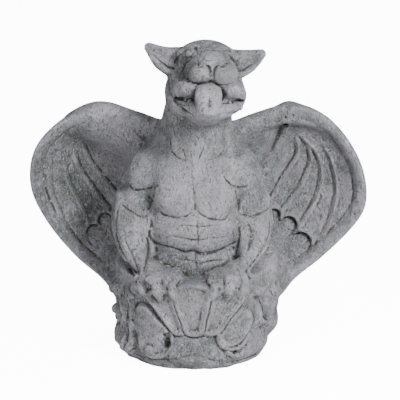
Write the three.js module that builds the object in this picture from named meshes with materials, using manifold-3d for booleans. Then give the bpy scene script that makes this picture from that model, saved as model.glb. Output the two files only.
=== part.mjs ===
// A cast stone gargoyle: the bust of a winged beast with a panther's head and its tongue out. It crouches on a
// round rock and grips the top of a shell-like fan of lobes with both paws. The whole work is one casting.
// Units are millimetres, +Z is up and the beast looks along -Y. The origin is the middle of the outer size at
// the underside, which is flat.

import * as THREE from "three";
import { ParametricGeometry } from "three/addons/geometries/ParametricGeometry.js";
import { mergeVertices } from "three/addons/utils/BufferGeometryUtils.js";
import Module from "manifold-3d";

const wasm = await Module();
wasm.setup();

// Driving dimensions
const figureHeight = 320; // from the ledge of the fan to the crown of the head
const baseHeight = 125; // from the underside to that ledge
const baseRadius = 101; // of the rock behind the carving
const wingSpan = 460;
const wingHeight = 266;
const wingBow = 60; // how far the middle of a wing lies behind its rim
const wingThickness = 22;
const lobeRelief = 10; // how far the lobes of the fan stand out
const lobeHollow = 6; // how deep they are dished
const rimWidth = 5; // of the raised edge round a lobe
const ribRadius = 5; // of the finger bones on a wing
const pawReach = 11; // how far the claws reach out past the rock
const leafRelief = 9; // of the flutes on the sides of the rock

// The figure was drawn at this height above its ledge: its points and radii below are shares of it
const drawnHeight = 320;
const figureScale = figureHeight / drawnHeight;
const sides = [-1, 1];

// Turns a closed three.js geometry into a solid, in the frame given
function solidFrom(geometry, frame = new THREE.Matrix4()) {
  const bare = geometry.clone().applyMatrix4(frame);
  bare.deleteAttribute("normal");
  bare.deleteAttribute("uv");
  const merged = mergeVertices(bare, 1e-3);
  const position = merged.getAttribute("position");
  const corner = (i) => new THREE.Vector3().fromBufferAttribute(position, i);
  const triangles = [];
  let volume = 0;
  for (let i = 0; i < merged.index.count; i += 3) {
    const [a, b, c] = [0, 1, 2].map((j) => merged.index.getX(i + j));
    if (a === b || b === c || c === a) continue; // a triangle that closed up at a pole
    triangles.push([a, b, c]);
    volume += corner(a).dot(corner(b).cross(corner(c)));
  }
  const outward = volume > 0 ? triangles : triangles.map(([a, b, c]) => [a, c, b]);
  return new wasm.Manifold(
    new wasm.Mesh({
      numProp: 3,
      vertProperties: new Float32Array(position.array),
      triVerts: new Uint32Array(outward.flat()),
    }),
  );
}

// The frame at a point, turned by angles in degrees
function frameAt(x, y, z, turn = [0, 0, 0], order = "ZYX") {
  const angles = turn.map(THREE.MathUtils.degToRad);
  return new THREE.Matrix4()
    .makeRotationFromEuler(new THREE.Euler(...angles, order))
    .setPosition(x, y, z);
}

// A muscle or any other rounded mass, in a frame
function mass(frame, centre, radii, { turn, detail = 1 } = {}) {
  const ball = new THREE.IcosahedronGeometry(1, detail).scale(...radii);
  return solidFrom(ball, frame.clone().multiply(frameAt(...centre, turn)));
}

// A small knob, with few facets
function knob(frame, centre, radii) {
  const ball = new THREE.OctahedronGeometry(1, 1).scale(...radii);
  return solidFrom(ball, frame.clone().multiply(frameAt(...centre)));
}

// A body lofted through level sections. Each entry is a level, with the middle of the section there, half its
// width, and how far it reaches to the front and to the back. It closes to a point at both ends.
function loft(frame, entries, around) {
  const middles = new THREE.CatmullRomCurve3(entries.map(([level, middle]) => new THREE.Vector3(middle, 0, level)));
  const sizes = new THREE.CatmullRomCurve3(entries.map(([, , ...size]) => new THREE.Vector3(...size)));
  const surface = (u, v, target) => {
    const size = sizes.getPoint(v);
    const shrink = v === 0 || v === 1 ? 0 : 1;
    const angle = u * 2 * Math.PI;
    const depth = Math.sin(angle) < 0 ? size.y : size.z;
    target.copy(middles.getPoint(v));
    target.x += shrink * size.x * Math.cos(angle);
    target.y += shrink * depth * Math.sin(angle);
  };
  return solidFrom(new ParametricGeometry(surface, around, entries.length - 1), frame);
}

// A tapered limb along a smooth curve, with rounded ends. flat thins it along the direction face.
function limb(frame, points, radii, { flat = 1, face = [0, -1, 0], around = 7, rows = 6 } = {}) {
  const curve = new THREE.CatmullRomCurve3(points.map((p) => new THREE.Vector3(...p)));
  const capRows = 2;
  const cap = capRows / rows;
  const facing = new THREE.Vector3(...face);
  const radiusAt = (t) => {
    const step = Math.min(Math.floor(t * (radii.length - 1)), radii.length - 2);
    return THREE.MathUtils.lerp(radii[step], radii[step + 1], t * (radii.length - 1) - step);
  };
  const surface = (u, v, target) => {
    const inCap = Math.min(v, 1 - v) < cap;
    const t = THREE.MathUtils.clamp((v - cap) / (1 - 2 * cap), 0, 1);
    const swing = inCap ? (Math.min(v, 1 - v) / cap) * (Math.PI / 2) : Math.PI / 2;
    const tangent = curve.getTangent(t);
    const across = new THREE.Vector3().crossVectors(tangent, facing).normalize();
    const out = new THREE.Vector3().crossVectors(across, tangent);
    const radius = radiusAt(t);
    const angle = u * 2 * Math.PI;
    target
      .copy(curve.getPoint(t))
      .addScaledVector(tangent, Math.sign(v - 0.5) * Math.cos(swing) * radius)
      .addScaledVector(across, Math.cos(angle) * Math.sin(swing) * radius)
      .addScaledVector(out, Math.sin(angle) * Math.sin(swing) * radius * flat);
  };
  return solidFrom(new ParametricGeometry(surface, around, rows), frame);
}

// Frames of the work: the rock stands in the row frame, and the figure sits on the rock's ledge
const rockFrame = frameAt(-5, 0, 0);
const figureFrame = frameAt(-4, 0, baseHeight).scale(
  new THREE.Vector3(figureScale, figureScale, figureScale),
);
// The head is thrown back, and turned a little to one side
const headFrame = figureFrame.clone().multiply(frameAt(13, -15, 258, [-30, 3, 5], "ZYX"));

// A point on the rock: degrees round from the front, millimetres out from the rock, height over the underside
function onRock(degrees, out, height) {
  const angle = THREE.MathUtils.degToRad(degrees);
  const reach = baseRadius + out;
  return [Math.sin(angle) * reach, -Math.cos(angle) * reach, height];
}

// The rock: turned from a profile that swells under the ledge
function rock() {
  const profile = [
    [0, 0],
    [baseRadius - 6, 0],
    [baseRadius - 2, baseHeight * 0.06],
    [baseRadius, baseHeight * 0.45],
    [baseRadius + 2, baseHeight * 0.7],
    [baseRadius - 1, baseHeight * 0.9],
    [baseRadius - 8, baseHeight],
    [0, baseHeight],
  ].map(([radius, height]) => new THREE.Vector2(radius, height));
  return solidFrom(new THREE.LatheGeometry(profile, 20).rotateX(Math.PI / 2));
}

// The fan: each lobe has a place on the rock, a lean in degrees, half its width at the top and at the foot, and
// half its length
const lobes = [
  { round: -2, height: 0.73, lean: 0, top: 24, foot: 8, half: 36 },
  { round: -20.5, height: 0.64, lean: -27, top: 21, foot: 8, half: 36 },
  { round: 18.5, height: 0.64, lean: 25, top: 22, foot: 8, half: 36 },
  { round: -36, height: 0.46, lean: -22, top: 20, foot: 10, half: 36 },
  { round: 34, height: 0.45, lean: 24, top: 19, foot: 9, half: 34 },
];

// A petal is a rounded shape, broad above and narrow below, with a bevelled edge
function petal(top, foot, half, thickness, bevelEnabled) {
  const shape = new THREE.Shape();
  shape.moveTo(-foot, -half + foot);
  shape.bezierCurveTo(-foot, -half + foot, -top, 0, -top, half - top);
  shape.absarc(0, half - top, top, Math.PI, 0, true);
  shape.bezierCurveTo(top, 0, foot, -half + foot, foot, -half + foot);
  shape.absarc(0, -half + foot, foot, 0, -Math.PI, true);
  const bevelSize = thickness / 2;
  return new THREE.ExtrudeGeometry(shape, {
    depth: thickness,
    curveSegments: 3,
    bevelEnabled,
    bevelSegments: 1,
    bevelThickness: bevelSize,
    bevelSize,
    bevelOffset: -bevelSize,
  }).rotateX(Math.PI / 2);
}

function lobe({ round, height, lean, top, foot, half }) {
  const place = (out) => {
    const [x, y, z] = onRock(round, out, height * baseHeight);
    return rockFrame.clone().multiply(frameAt(x, y, z, [0, lean, round]));
  };
  const body = solidFrom(petal(top, foot, half, lobeRelief, true), place(-lobeRelief / 2));
  const hollow = petal(top - rimWidth, foot - rimWidth / 2, half - rimWidth, 2 * lobeHollow, false);
  return { body, dish: solidFrom(hollow, place(lobeRelief - lobeHollow)) };
}

// The leaves on each side of the rock: upright flutes, with the tips of the leaves curling out beside them
function sideLeaves(side) {
  const made = [60, 77].map((degrees, i) =>
    limb(
      rockFrame,
      [
        onRock(side * (degrees - 4), -5, 0.12 * baseHeight),
        onRock(side * degrees, leafRelief * 0.4, 0.4 * baseHeight),
        onRock(side * (degrees + 3), 0, (0.74 - 0.05 * (i % 2)) * baseHeight),
      ],
      [leafRelief, leafRelief * 1.4, leafRelief],
      { around: 5, rows: 5, face: [side, 0, 0] },
    ),
  );
  for (const height of [0.12, 0.34, 0.57]) {
    made.push(knob(rockFrame, onRock(side * 86, leafRelief * 0.3, height * baseHeight), [12, 18, 11]));
  }
  made.push(mass(rockFrame, onRock(side * 66, leafRelief * 0.6, 0.56 * baseHeight), [12, 11, 14]));
  return made;
}

// A wing is a dish: its middle surface is a shallow bowl that opens to the front
const halfSpan = wingSpan / 2;
const wingFoot = baseHeight * 0.58;
const wingPoint = (x, z) => new THREE.Vector2(x * halfSpan, wingFoot + z * wingHeight);
const bowl = wingPoint(0.585, 0.535);
const bowlHalfWidth = 0.42 * halfSpan;
const bowlHalfHeight = 0.485 * wingHeight;
const bowlDepth = 88;

function wingMiddle({ x, y: z }) {
  const across = (x - bowl.x) / bowlHalfWidth;
  const up = (z - bowl.y) / bowlHalfHeight;
  return bowlDepth - wingBow * (across * across + up * up);
}

// The outline of a wing, as shares of the half span and of the wing's height, from the shoulder over the wrist
// and round to the back. A line runs from the wrist to each of these points. The third value is how far it bows
// outward and the fourth how far the membrane covers it, as shares of its length. The last is 1 on a finger bone.
const wingOutline = [
  [0.2, 0.91, 0, 0.6, 0],
  [0.39, 0.965, 0, 0.6, 0],
  [0.555, 1, 0, 0.6, 0],
  [0.7, 0.965, 0.03, 0.65, 0],
  [0.845, 0.875, 0.1, 0.7, 0],
  [0.955, 0.75, 0.17, 0.75, 0],
  [1, 0.615, 0.2, 0.8, 0],
  [0.985, 0.47, 0.22, 0.85, 0],
  [0.885, 0.31, 0.24, 0.87, 0],
  [0.735, 0.165, 0.26, 0.87, 0],
  [0.58, 0.065, 0.25, 0.86, 1],
  [0.49, 0, 0.19, 0.68, 1],
  [0.39, 0, 0.13, 0.6, 1],
  [0.29, 0.03, 0.08, 0.57, 1],
  [0.21, 0.25, 0, 0.57, 0],
  [0.17, 0.6, 0, 0.57, 0],
  [0.16, 0.8, 0, 0.6, 0],
];
// The beast's left wing droops further down its outer side than its right one
const droop = 0.14;
const wrist = wingPoint(0.57, 0.93);
const hollowDepth = 8; // of the wing below the membrane, which is like the inside of a shell
const edgeStep = 0.03;
const backRows = [0.95, 0.6, 0];

// Rows of the dish from the wrist to the rim: the edge of the membrane lies between two of them
const frontRows = (edge) => [0, 0.33 * edge, 0.7 * edge, edge - edgeStep, edge + edgeStep, 0.93];

function wing(side) {
  const rim = new THREE.CatmullRomCurve3(
    wingOutline.map(([x, z, bow]) => {
      const point = wingPoint(x, z);
      const lean = -side * droop * Math.max(0, point.x - wrist.x) * Math.sin(Math.PI * z ** 1.6);
      return new THREE.Vector3(point.x, point.y + lean, bow);
    }),
    true,
  );
  const frontCount = frontRows(1).length;
  const steps = frontCount + backRows.length;
  const surface = (u, v, target) => {
    const place = u * wingOutline.length;
    const along = place % 1;
    const [before, after] = [0, 1].map((i) => wingOutline[(Math.floor(place) + i) % wingOutline.length]);
    // Between two bones the edge of the membrane is drawn up like a sail, and the wing lies deeper below it
    const between = before[4] * (along > 0 ? after[4] : 1);
    const drawnUp = 0.05 * between * Math.sin(Math.PI * along);
    const edge = THREE.MathUtils.lerp(before[3], after[3], along) - drawnUp;
    const row = Math.round(v * steps);
    const front = row <= frontCount;
    const share = row === frontCount ? 1 : front ? frontRows(edge)[row] : backRows[row - frontCount - 1];
    const end = rim.getPoint(u);
    const line = new THREE.Vector2(end.x - wrist.x, end.y - wrist.y);
    const bend = 5.4 * end.z * share * (1 - share) ** 1.5; // it peaks at the bow, four tenths of the way out
    const outward = new THREE.Vector2(-line.y, line.x).multiplyScalar(bend);
    const point = wrist.clone().addScaledVector(line, share).add(outward);
    const onBone = along === 0 && share > 0 ? before[4] : 0;
    const below = share > edge ? 1 : 0;
    const rimRoll = share > 0.9 && share < 1 ? wingThickness * 0.3 : 0;
    const relief = ribRadius * onBone * (1 - 0.7 * below) - hollowDepth * between * below + rimRoll;
    const half = share === 1 ? 0 : wingThickness / 2;
    target.set(side * point.x, wingMiddle(point) + (front ? -half - relief : half), point.y);
  };
  const sheet = solidFrom(new ParametricGeometry(surface, 2 * wingOutline.length, steps));
  // The upper arm of the wing runs from the shoulder blade to the wrist
  const shoulder = wingPoint(0.2, 0.87);
  const elbow = wingPoint(0.37, 0.93);
  const arm = limb(
    rockFrame,
    [
      [side * shoulder.x, 22, shoulder.y],
      [side * elbow.x, wingMiddle(elbow) - 2, elbow.y],
      [side * wrist.x, wingMiddle(wrist) - 4, wrist.y],
    ],
    [wingThickness * 0.75, wingThickness * 0.6, wingThickness * 0.6],
  );
  return [sheet, arm];
}

// The trunk and neck, from inside the rock up to inside the head, at levels over the ledge
const trunkLevels = [
  [-60, 0, 40, 30, 30],
  [-10, 0, 68, 52, 46],
  [12, 0, 60, 58, 50],
  [38, 0, 53, 60, 50],
  [62, 0, 56, 56, 50],
  [92, 0, 61, 53, 52],
  [120, 0, 62, 50, 50],
  [145, 0, 56, 42, 46],
  [168, 1, 48, 37, 42],
  [190, 2, 45, 38, 42],
  [222, 5, 45, 40, 42],
  [252, 8, 40, 34, 36],
  [275, 10, 18, 10, 16],
];

// The chest, the folds of the belly and the muscles round the neck lie on the trunk in pairs
function trunk() {
  const made = [
    loft(figureFrame, trunkLevels, 14),
    mass(figureFrame, [0, -49, 29], [44, 17, 12]),
    mass(figureFrame, [0, -46, 7], [50, 19, 13]),
  ];
  for (const side of sides) {
    made.push(
      mass(figureFrame, [side * 30, -39, 118], [34, 18, 31], { turn: [0, side * 10, side * 14], detail: 2 }),
      mass(figureFrame, [side * 19, -50, 76], [21, 12, 13]),
      mass(figureFrame, [side * 21, -52, 51], [25, 14, 14]),
      mass(figureFrame, [side * 50, 2, 94], [18, 38, 46]),
      limb(figureFrame, [[side * 16, 8, 200], [side * 42, 6, 170], [side * 64, 3, 152]], [24, 20, 20]),
    );
  }
  return made;
}

// An arm comes down from the shoulder to a wrist that rests on the ledge of the rock
function arm(side) {
  const toFigure = figureFrame.clone().invert();
  const wrist = new THREE.Vector3(...onRock(side * 47, -14, baseHeight + 9)).applyMatrix4(toFigure);
  return [
    mass(figureFrame, [side * 72, -8, 138], [26, 30, 30], { turn: [0, side * 10, 0], detail: 2 }),
    limb(figureFrame, [[side * 76, -2, 130], [side * 83, 2, 104], [side * 87, 4, 84]], [20, 19, 19]),
    mass(figureFrame, [side * 78, -19, 97], [17, 19, 21]),
    limb(figureFrame, [[side * 88, 0, 88], [side * 87, -24, 58], wrist.toArray()], [23, 22, 12], {
      rows: 7,
    }),
  ];
}

// A paw folds its fingers over the rim of the fan, at these degrees round the rock
const fingerPlaces = { [-1]: [-18, -30, -45], [1]: [15, 27, 42] };
const fingerRadius = 8;

function paw(side) {
  const back = onRock(side * 34, -12, baseHeight + 5);
  const made = [mass(rockFrame, back, [22, 17, 13], { turn: [0, 0, side * 34] })];
  for (const degrees of fingerPlaces[side]) {
    made.push(
      limb(
        rockFrame,
        [
          onRock(degrees, -14, baseHeight + 6),
          onRock(degrees, pawReach - 4, baseHeight + 3),
          onRock(degrees, pawReach, baseHeight - 17),
        ],
        [fingerRadius, fingerRadius, fingerRadius * 0.75],
        { around: 5, rows: 6, face: [1, 0, 0] },
      ),
    );
  }
  return made;
}

// The head, in its own frame: x to its side, -y forward along the muzzle, z up. The skull is lofted along the
// muzzle from the back of the head to the nose, so its sections lie across the muzzle.
const skullLevels = [
  [-44, 0, 20, 6, 30],
  [-32, 0, 36, 24, 48],
  [-12, 0, 50, 38, 58],
  [10, 0, 53, 44, 56],
  [28, 0, 48, 42, 47],
  [44, 0, 38, 24, 30],
  [62, 0, 33, 23, 20],
  [78, 0, 24, 18, 12],
  [86, 0, 10, 6, 6],
];

function head() {
  const muzzleFrame = headFrame.clone().multiply(new THREE.Matrix4().makeRotationX(Math.PI / 2));
  const made = [
    loft(muzzleFrame, skullLevels, 14),
    mass(headFrame, [0, -36, -52], [32, 36, 16]),
    mass(headFrame, [0, -79, 1], [18, 9, 8]),
  ];
  for (const side of sides) {
    made.push(
      mass(headFrame, [side * 36, -18, -36], [13, 28, 20]),
      mass(headFrame, [side * 16, -66, -14], [18, 18, 14]),
      mass(headFrame, [side * 22, -34, 29], [18, 15, 9], { turn: [0, side * 14, 0] }),
      knob(headFrame, [side * 21, -48, 21], [8, 8, 6]),
    );
  }
  return made;
}

function ears() {
  return sides.map((side) =>
    limb(headFrame, [[side * 34, 2, 24], [side * 58, 2, 31], [side * 80, 2, 41]], [21, 14, 5], {
      flat: 0.55,
      face: [0, -1, -0.4],
    }),
  );
}

const mouth = () => mass(headFrame, [0, -54, -36], [27, 36, 11]);

const tongue = () =>
  limb(headFrame, [[0, -34, -38], [0, -66, -32], [0, -80, -42], [0, -78, -60]], [14, 17, 18, 15], {
    flat: 0.4,
    face: [0, -0.6, 1],
    around: 8,
  });

// Everything is joined into one casting, dished where the carving is hollow, and cut flat below
const lobeSolids = lobes.map(lobe);
const skull = wasm.Manifold.union([...head(), ...ears()]).subtract(mouth());
const fan = wasm.Manifold.union([rock(), ...lobeSolids.map((l) => l.body)]).subtract(
  wasm.Manifold.union(lobeSolids.map((l) => l.dish)),
);
const underside = solidFrom(
  new THREE.BoxGeometry(4 * wingSpan, 4 * wingSpan, baseHeight).translate(0, 0, -baseHeight / 2),
);
const casting = wasm.Manifold.union([
  fan,
  skull,
  tongue(),
  ...trunk(),
  ...sides.flatMap(wing),
  ...sides.flatMap(sideLeaves),
  ...sides.flatMap(arm),
  ...sides.flatMap(paw),
]).subtract(underside);

// Gives the solid back as a three.js mesh, with the middle of its outer size over the origin
function meshOf(solid, name, material) {
  const { vertProperties, triVerts } = solid.getMesh();
  const geometry = new THREE.BufferGeometry();
  geometry.setAttribute("position", new THREE.BufferAttribute(new Float32Array(vertProperties), 3));
  geometry.setIndex(new THREE.BufferAttribute(new Uint32Array(triVerts), 1));
  geometry.computeBoundingBox();
  const middle = geometry.boundingBox.getCenter(new THREE.Vector3());
  geometry.translate(-middle.x, -middle.y, 0);
  geometry.computeVertexNormals();
  const mesh = new THREE.Mesh(geometry, material);
  mesh.name = name;
  return mesh;
}

const castStone = new THREE.MeshStandardMaterial({ color: 0x92939a, roughness: 0.9, metalness: 0 });
const gargoyle = new THREE.Group();
gargoyle.add(meshOf(casting, "gargoyle", castStone));

export default gargoyle;
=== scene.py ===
import math
import bpy
import numpy as np
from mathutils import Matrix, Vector


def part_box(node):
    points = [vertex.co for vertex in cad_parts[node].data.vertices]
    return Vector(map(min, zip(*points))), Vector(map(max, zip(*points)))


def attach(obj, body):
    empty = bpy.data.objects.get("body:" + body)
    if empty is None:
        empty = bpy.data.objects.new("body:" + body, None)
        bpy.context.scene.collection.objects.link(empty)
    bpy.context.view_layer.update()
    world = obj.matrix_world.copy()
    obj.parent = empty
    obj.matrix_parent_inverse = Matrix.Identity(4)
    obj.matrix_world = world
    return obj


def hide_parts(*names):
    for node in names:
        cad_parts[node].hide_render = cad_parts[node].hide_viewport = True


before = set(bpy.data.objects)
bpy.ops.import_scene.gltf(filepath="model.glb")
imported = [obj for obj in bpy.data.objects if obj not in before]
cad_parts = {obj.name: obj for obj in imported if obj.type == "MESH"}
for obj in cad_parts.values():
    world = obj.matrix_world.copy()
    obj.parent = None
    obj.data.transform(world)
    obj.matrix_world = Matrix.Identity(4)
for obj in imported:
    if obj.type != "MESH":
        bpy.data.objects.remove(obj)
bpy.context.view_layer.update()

# The sculpt works in millimetres, in the solid's own layout. Its rock stands at x -5 and y 0, and the whole
# is then slid so that the back of the rock meets the back of the frame's box.
size = {
    "baseHeight": 125.0,
    "baseRadius": 101.0,
    "rockX": -5.0,
    "figureX": -4.0,
    "halfSpan": 230.0,
    "wingHeight": 266.0,
    "wingFoot": 72.5,
    "wingThickness": 22.0,
    "bowlDepth": 88.0,
    "wingBow": 60.0,
    "headPlace": (13, -15, 258),  # from the foot of the figure
    "headTurn": (-30, 4, 6),
    "sightAngle": 17.0,  # how far above the horizontal the figure is seen from
    # the block of clay: how far it reaches from the middle of the rock, and up
    "clayFront": 128.0,
    "clayBack": 112.0,
    "clayTop": 446.0,
    "detail": 1.5,  # size of a grain of the clay, in mm
    "triangles": 190000,
    "creaseReach": 1,  # how many grains round a point are surveyed for painted shade and dirt
    "hollowReach": 5,
    "rockBack": 2.0,  # how far the rough back of the rock stands out from its radius
    "slideX": 0.05,
}
sides = (-1, 1)
perMetre = 1000
millimetre = 1 / perMetre


# Frames and curves

def frameAt(x=0.0, y=0.0, z=0.0, turn=(0, 0, 0)):
    # turned about X, then Y, then Z, in degrees
    a, b, c = [math.radians(t) for t in turn]
    rx = np.array([[1, 0, 0], [0, math.cos(a), -math.sin(a)], [0, math.sin(a), math.cos(a)]])
    ry = np.array([[math.cos(b), 0, math.sin(b)], [0, 1, 0], [-math.sin(b), 0, math.cos(b)]])
    rz = np.array([[math.cos(c), -math.sin(c), 0], [math.sin(c), math.cos(c), 0], [0, 0, 1]])
    m = np.eye(4)
    m[:3, :3] = rz @ ry @ rx
    m[:3, 3] = (x, y, z)
    return m


def inWorld(frameIn, points):
    p = np.asarray(points, float)
    return p @ frameIn[:3, :3].T + frameIn[:3, 3]


def inFrame(frameIn, x, y, z):
    m = np.linalg.inv(frameIn).astype(np.float32)
    return [m[i, 0] * x + m[i, 1] * y + m[i, 2] * z + m[i, 3] for i in range(3)]


def smoothLine(points, count, closed=False):
    # a Catmull-Rom curve through the points, with any number of values at each
    p = np.asarray(points, float)
    n = len(p)
    spans = n if closed else n - 1
    if closed:
        padded = np.concatenate([p[-1:], p, p[:2]])
    else:
        padded = np.concatenate([2 * p[:1] - p[1:2], p, 2 * p[-1:] - p[-2:-1]])
    t = np.linspace(0, spans, count, endpoint=not closed)
    i = np.minimum(t.astype(int), spans - 1)
    f = (t - i)[:, None]
    a, b, c, d = padded[i], padded[i + 1], padded[i + 2], padded[i + 3]
    return 0.5 * (2 * b + (c - a) * f + (2 * a - 5 * b + 4 * c - d) * f**2 + (3 * b - a - 3 * c + d) * f**3)


def blendStep(value, low, high):
    # 0 at low and 1 at high, with a soft start and end
    t = np.clip((value - low) / (high - low), 0, 1)
    return t * t * (3 - 2 * t)


def softMin(a, b, k):
    # the lesser of two values, rounded over k where they meet
    h = np.maximum(k - np.abs(a - b), 0) / k
    return np.minimum(a, b) - h * h * k * 0.25


# The clay is a block of space that holds the distance to its surface. Shapes are added to it and carved out
# of it, each one blended softly into what is there.

class Clay:
    empty = 40.0  # the distance that stands everywhere before the first shape

    def __init__(self, low, high, grain):
        self.grain = grain
        self.low = np.array(low, np.float32)
        counts = [int(math.ceil((h - l) / grain)) + 1 for l, h in zip(low, high)]
        self.axes = [self.low[i] + grain * np.arange(counts[i], dtype=np.float32) for i in range(3)]
        self.field = np.full(counts, self.empty, np.float32)

    def window(self, low, high, margin):
        parts = []
        for axis, lo, hi in zip(self.axes, low, high):
            start = int(np.searchsorted(axis, lo - margin))
            stop = int(np.searchsorted(axis, hi + margin))
            parts.append(slice(max(start - 1, 0), max(stop, start + 1)))
        x = self.axes[0][parts[0]][:, None, None]
        y = self.axes[1][parts[1]][None, :, None]
        z = self.axes[2][parts[2]][None, None, :]
        return tuple(parts), (x, y, z)

    def add(self, shape, blend):
        low, high, distance = shape
        part, place = self.window(low, high, blend + 2 * self.grain)
        self.field[part] = softMin(self.field[part], distance(*place), blend)

    def carve(self, shape, blend):
        low, high, distance = shape
        part, place = self.window(low, high, blend + 2 * self.grain)
        self.field[part] = -softMin(-self.field[part], distance(*place), blend)

    def cutBelow(self, level):
        z = self.axes[2][None, None, :]
        self.field = np.maximum(self.field, level - z)


def ball(frameIn, centre, radii, turn=(0, 0, 0)):
    # an egg shape with three radii
    own = frameIn @ frameAt(*centre, turn)
    r = np.array(radii, float)
    reach = np.sqrt(((own[:3, :3] * r) ** 2).sum(axis=1))
    middle = own[:3, 3]

    def distance(x, y, z):
        q = inFrame(own, x, y, z)
        k0 = np.sqrt(sum((q[i] / np.float32(r[i])) ** 2 for i in range(3)))
        k1 = np.sqrt(sum((q[i] / np.float32(r[i] ** 2)) ** 2 for i in range(3)))
        return k0 * (k0 - 1) / np.maximum(k1, 1e-5)

    return middle - reach, middle + reach, distance


def limb(frameIn, points, radii, flat=1.0, face=(0, -1, 0), pieces=10):
    # a tapered limb along a smooth curve; flat thins it along the direction face
    line = inWorld(frameIn, smoothLine(points, pieces + 1))
    given = np.asarray(radii, float)
    r = np.interp(np.linspace(0, 1, pieces + 1), np.linspace(0, 1, len(given)), given)
    n = frameIn[:3, :3] @ np.asarray(face, float)
    n = n / np.linalg.norm(n)
    stretch = 1.0 / flat - 1.0
    stretched = line + stretch * (line @ n)[:, None] * n
    low = (line - r[:, None]).min(axis=0)
    high = (line + r[:, None]).max(axis=0)

    def distance(x, y, z):
        n32 = n.astype(np.float32)
        along = np.float32(stretch) * (x * n32[0] + y * n32[1] + z * n32[2])
        px, py, pz = x + along * n32[0], y + along * n32[1], z + along * n32[2]
        best = None
        for a, b, ra, rb in zip(stretched[:-1], stretched[1:], r[:-1], r[1:]):
            a32, ba = a.astype(np.float32), (b - a).astype(np.float32)
            qx, qy, qz = px - a32[0], py - a32[1], pz - a32[2]
            t = np.clip((qx * ba[0] + qy * ba[1] + qz * ba[2]) / np.float32(ba @ ba + 1e-6), 0, 1)
            gap = np.sqrt((qx - t * ba[0]) ** 2 + (qy - t * ba[1]) ** 2 + (qz - t * ba[2]) ** 2)
            gap = gap - np.float32(ra) - t * np.float32(rb - ra)
            best = gap if best is None else np.minimum(best, gap)
        return best * np.float32(0.5 + 0.5 * flat)

    return low, high, distance


def loft(frameIn, levels):
    # a body through level sections
    table = np.array(levels, float)
    fine = smoothLine(table, 8 * len(levels))
    x0, y0, z0 = frameIn[:3, 3]
    wide = table[:, 2].max()
    low = np.array([x0 - wide + table[:, 1].min(), y0 - table[:, 3].max(), z0 + table[0, 0]])
    high = np.array([x0 + wide + table[:, 1].max(), y0 + table[:, 4].max(), z0 + table[-1, 0]])

    def distance(x, y, z):
        h = z - np.float32(z0)
        sections = [np.interp(h, fine[:, 0], fine[:, i]).astype(np.float32) for i in range(1, 5)]
        middle, width, front, back = sections
        dx = x - np.float32(x0) - middle
        dy = y - np.float32(y0)
        depth = np.where(dy < 0, front, back)
        k0 = np.sqrt((dx / width) ** 2 + (dy / depth) ** 2)
        k1 = np.sqrt((dx / width**2) ** 2 + (dy / depth**2) ** 2)
        side = k0 * (k0 - 1) / np.maximum(k1, 1e-5)
        ends = np.maximum(np.float32(table[0, 0]) - h, h - np.float32(table[-1, 0]))
        return np.maximum(side, ends)

    return low, high, distance


# Flat drawing helpers, for what is carved on the rock and the wings

def lineGap(px, pz, line):
    # the distance from each point to a line, how far along it the nearest place is, and on which side
    best = np.full(np.broadcast(px, pz).shape, 1e6)
    share = np.zeros_like(best)
    hand = np.zeros_like(best)
    count = len(line) - 1
    for i, (a, b) in enumerate(zip(line[:-1], line[1:])):
        ba = b[:2] - a[:2]
        t = np.clip(((px - a[0]) * ba[0] + (pz - a[1]) * ba[1]) / (ba @ ba + 1e-9), 0, 1)
        gap = np.hypot(px - a[0] - t * ba[0], pz - a[1] - t * ba[1])
        nearer = gap < best
        best = np.where(nearer, gap, best)
        share = np.where(nearer, (i + t) / count, share)
        hand = np.where(nearer, np.sign((px - a[0]) * ba[1] - (pz - a[1]) * ba[0]), hand)
    return best, share, hand


def outlineGap(px, pz, outline):
    # the distance to a closed outline, below zero inside it
    closed = np.concatenate([outline, outline[:1]])
    gap = lineGap(px, pz, closed)[0]
    inside = np.zeros(gap.shape, bool)
    for a, b in zip(closed[:-1], closed[1:]):
        if a[1] == b[1]:
            continue
        crosses = (a[1] > pz) != (b[1] > pz)
        at = a[0] + (pz - a[1]) * (b[0] - a[0]) / (b[1] - a[1])
        inside ^= crosses & (px < at)
    return np.where(inside, -gap, gap)


def ripple(px, pz, seed, breadth):
    # gentle, even unevenness, made from a few seeded waves
    rng = np.random.default_rng(seed)
    waves = 6
    total = 0.0
    for _ in range(waves):
        angle = rng.uniform(0, math.pi)
        wave = breadth * rng.uniform(0.7, 1.6)
        shift = rng.uniform(0, 2 * math.pi)
        total = total + np.sin((px * math.cos(angle) + pz * math.sin(angle)) * 2 * math.pi / wave + shift)
    return total / waves


# The layout of the casting

rockFrame = frameAt(size["rockX"], 0, 0)
figureFrame = frameAt(size["figureX"], 0, size["baseHeight"])
headFrame = figureFrame @ frameAt(*size["headPlace"], size["headTurn"])


def onRock(degrees, out, height):
    # a place by its direction round the rock, how far it stands out from the rock's side, and its height
    angle = math.radians(degrees)
    reach = size["baseRadius"] + out
    return [math.sin(angle) * reach, -math.cos(angle) * reach, height]


# The rock and its fan of lobes. They are drawn as seen from the front, x across from the middle of the rock
# and z up, and wrapped round it

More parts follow.
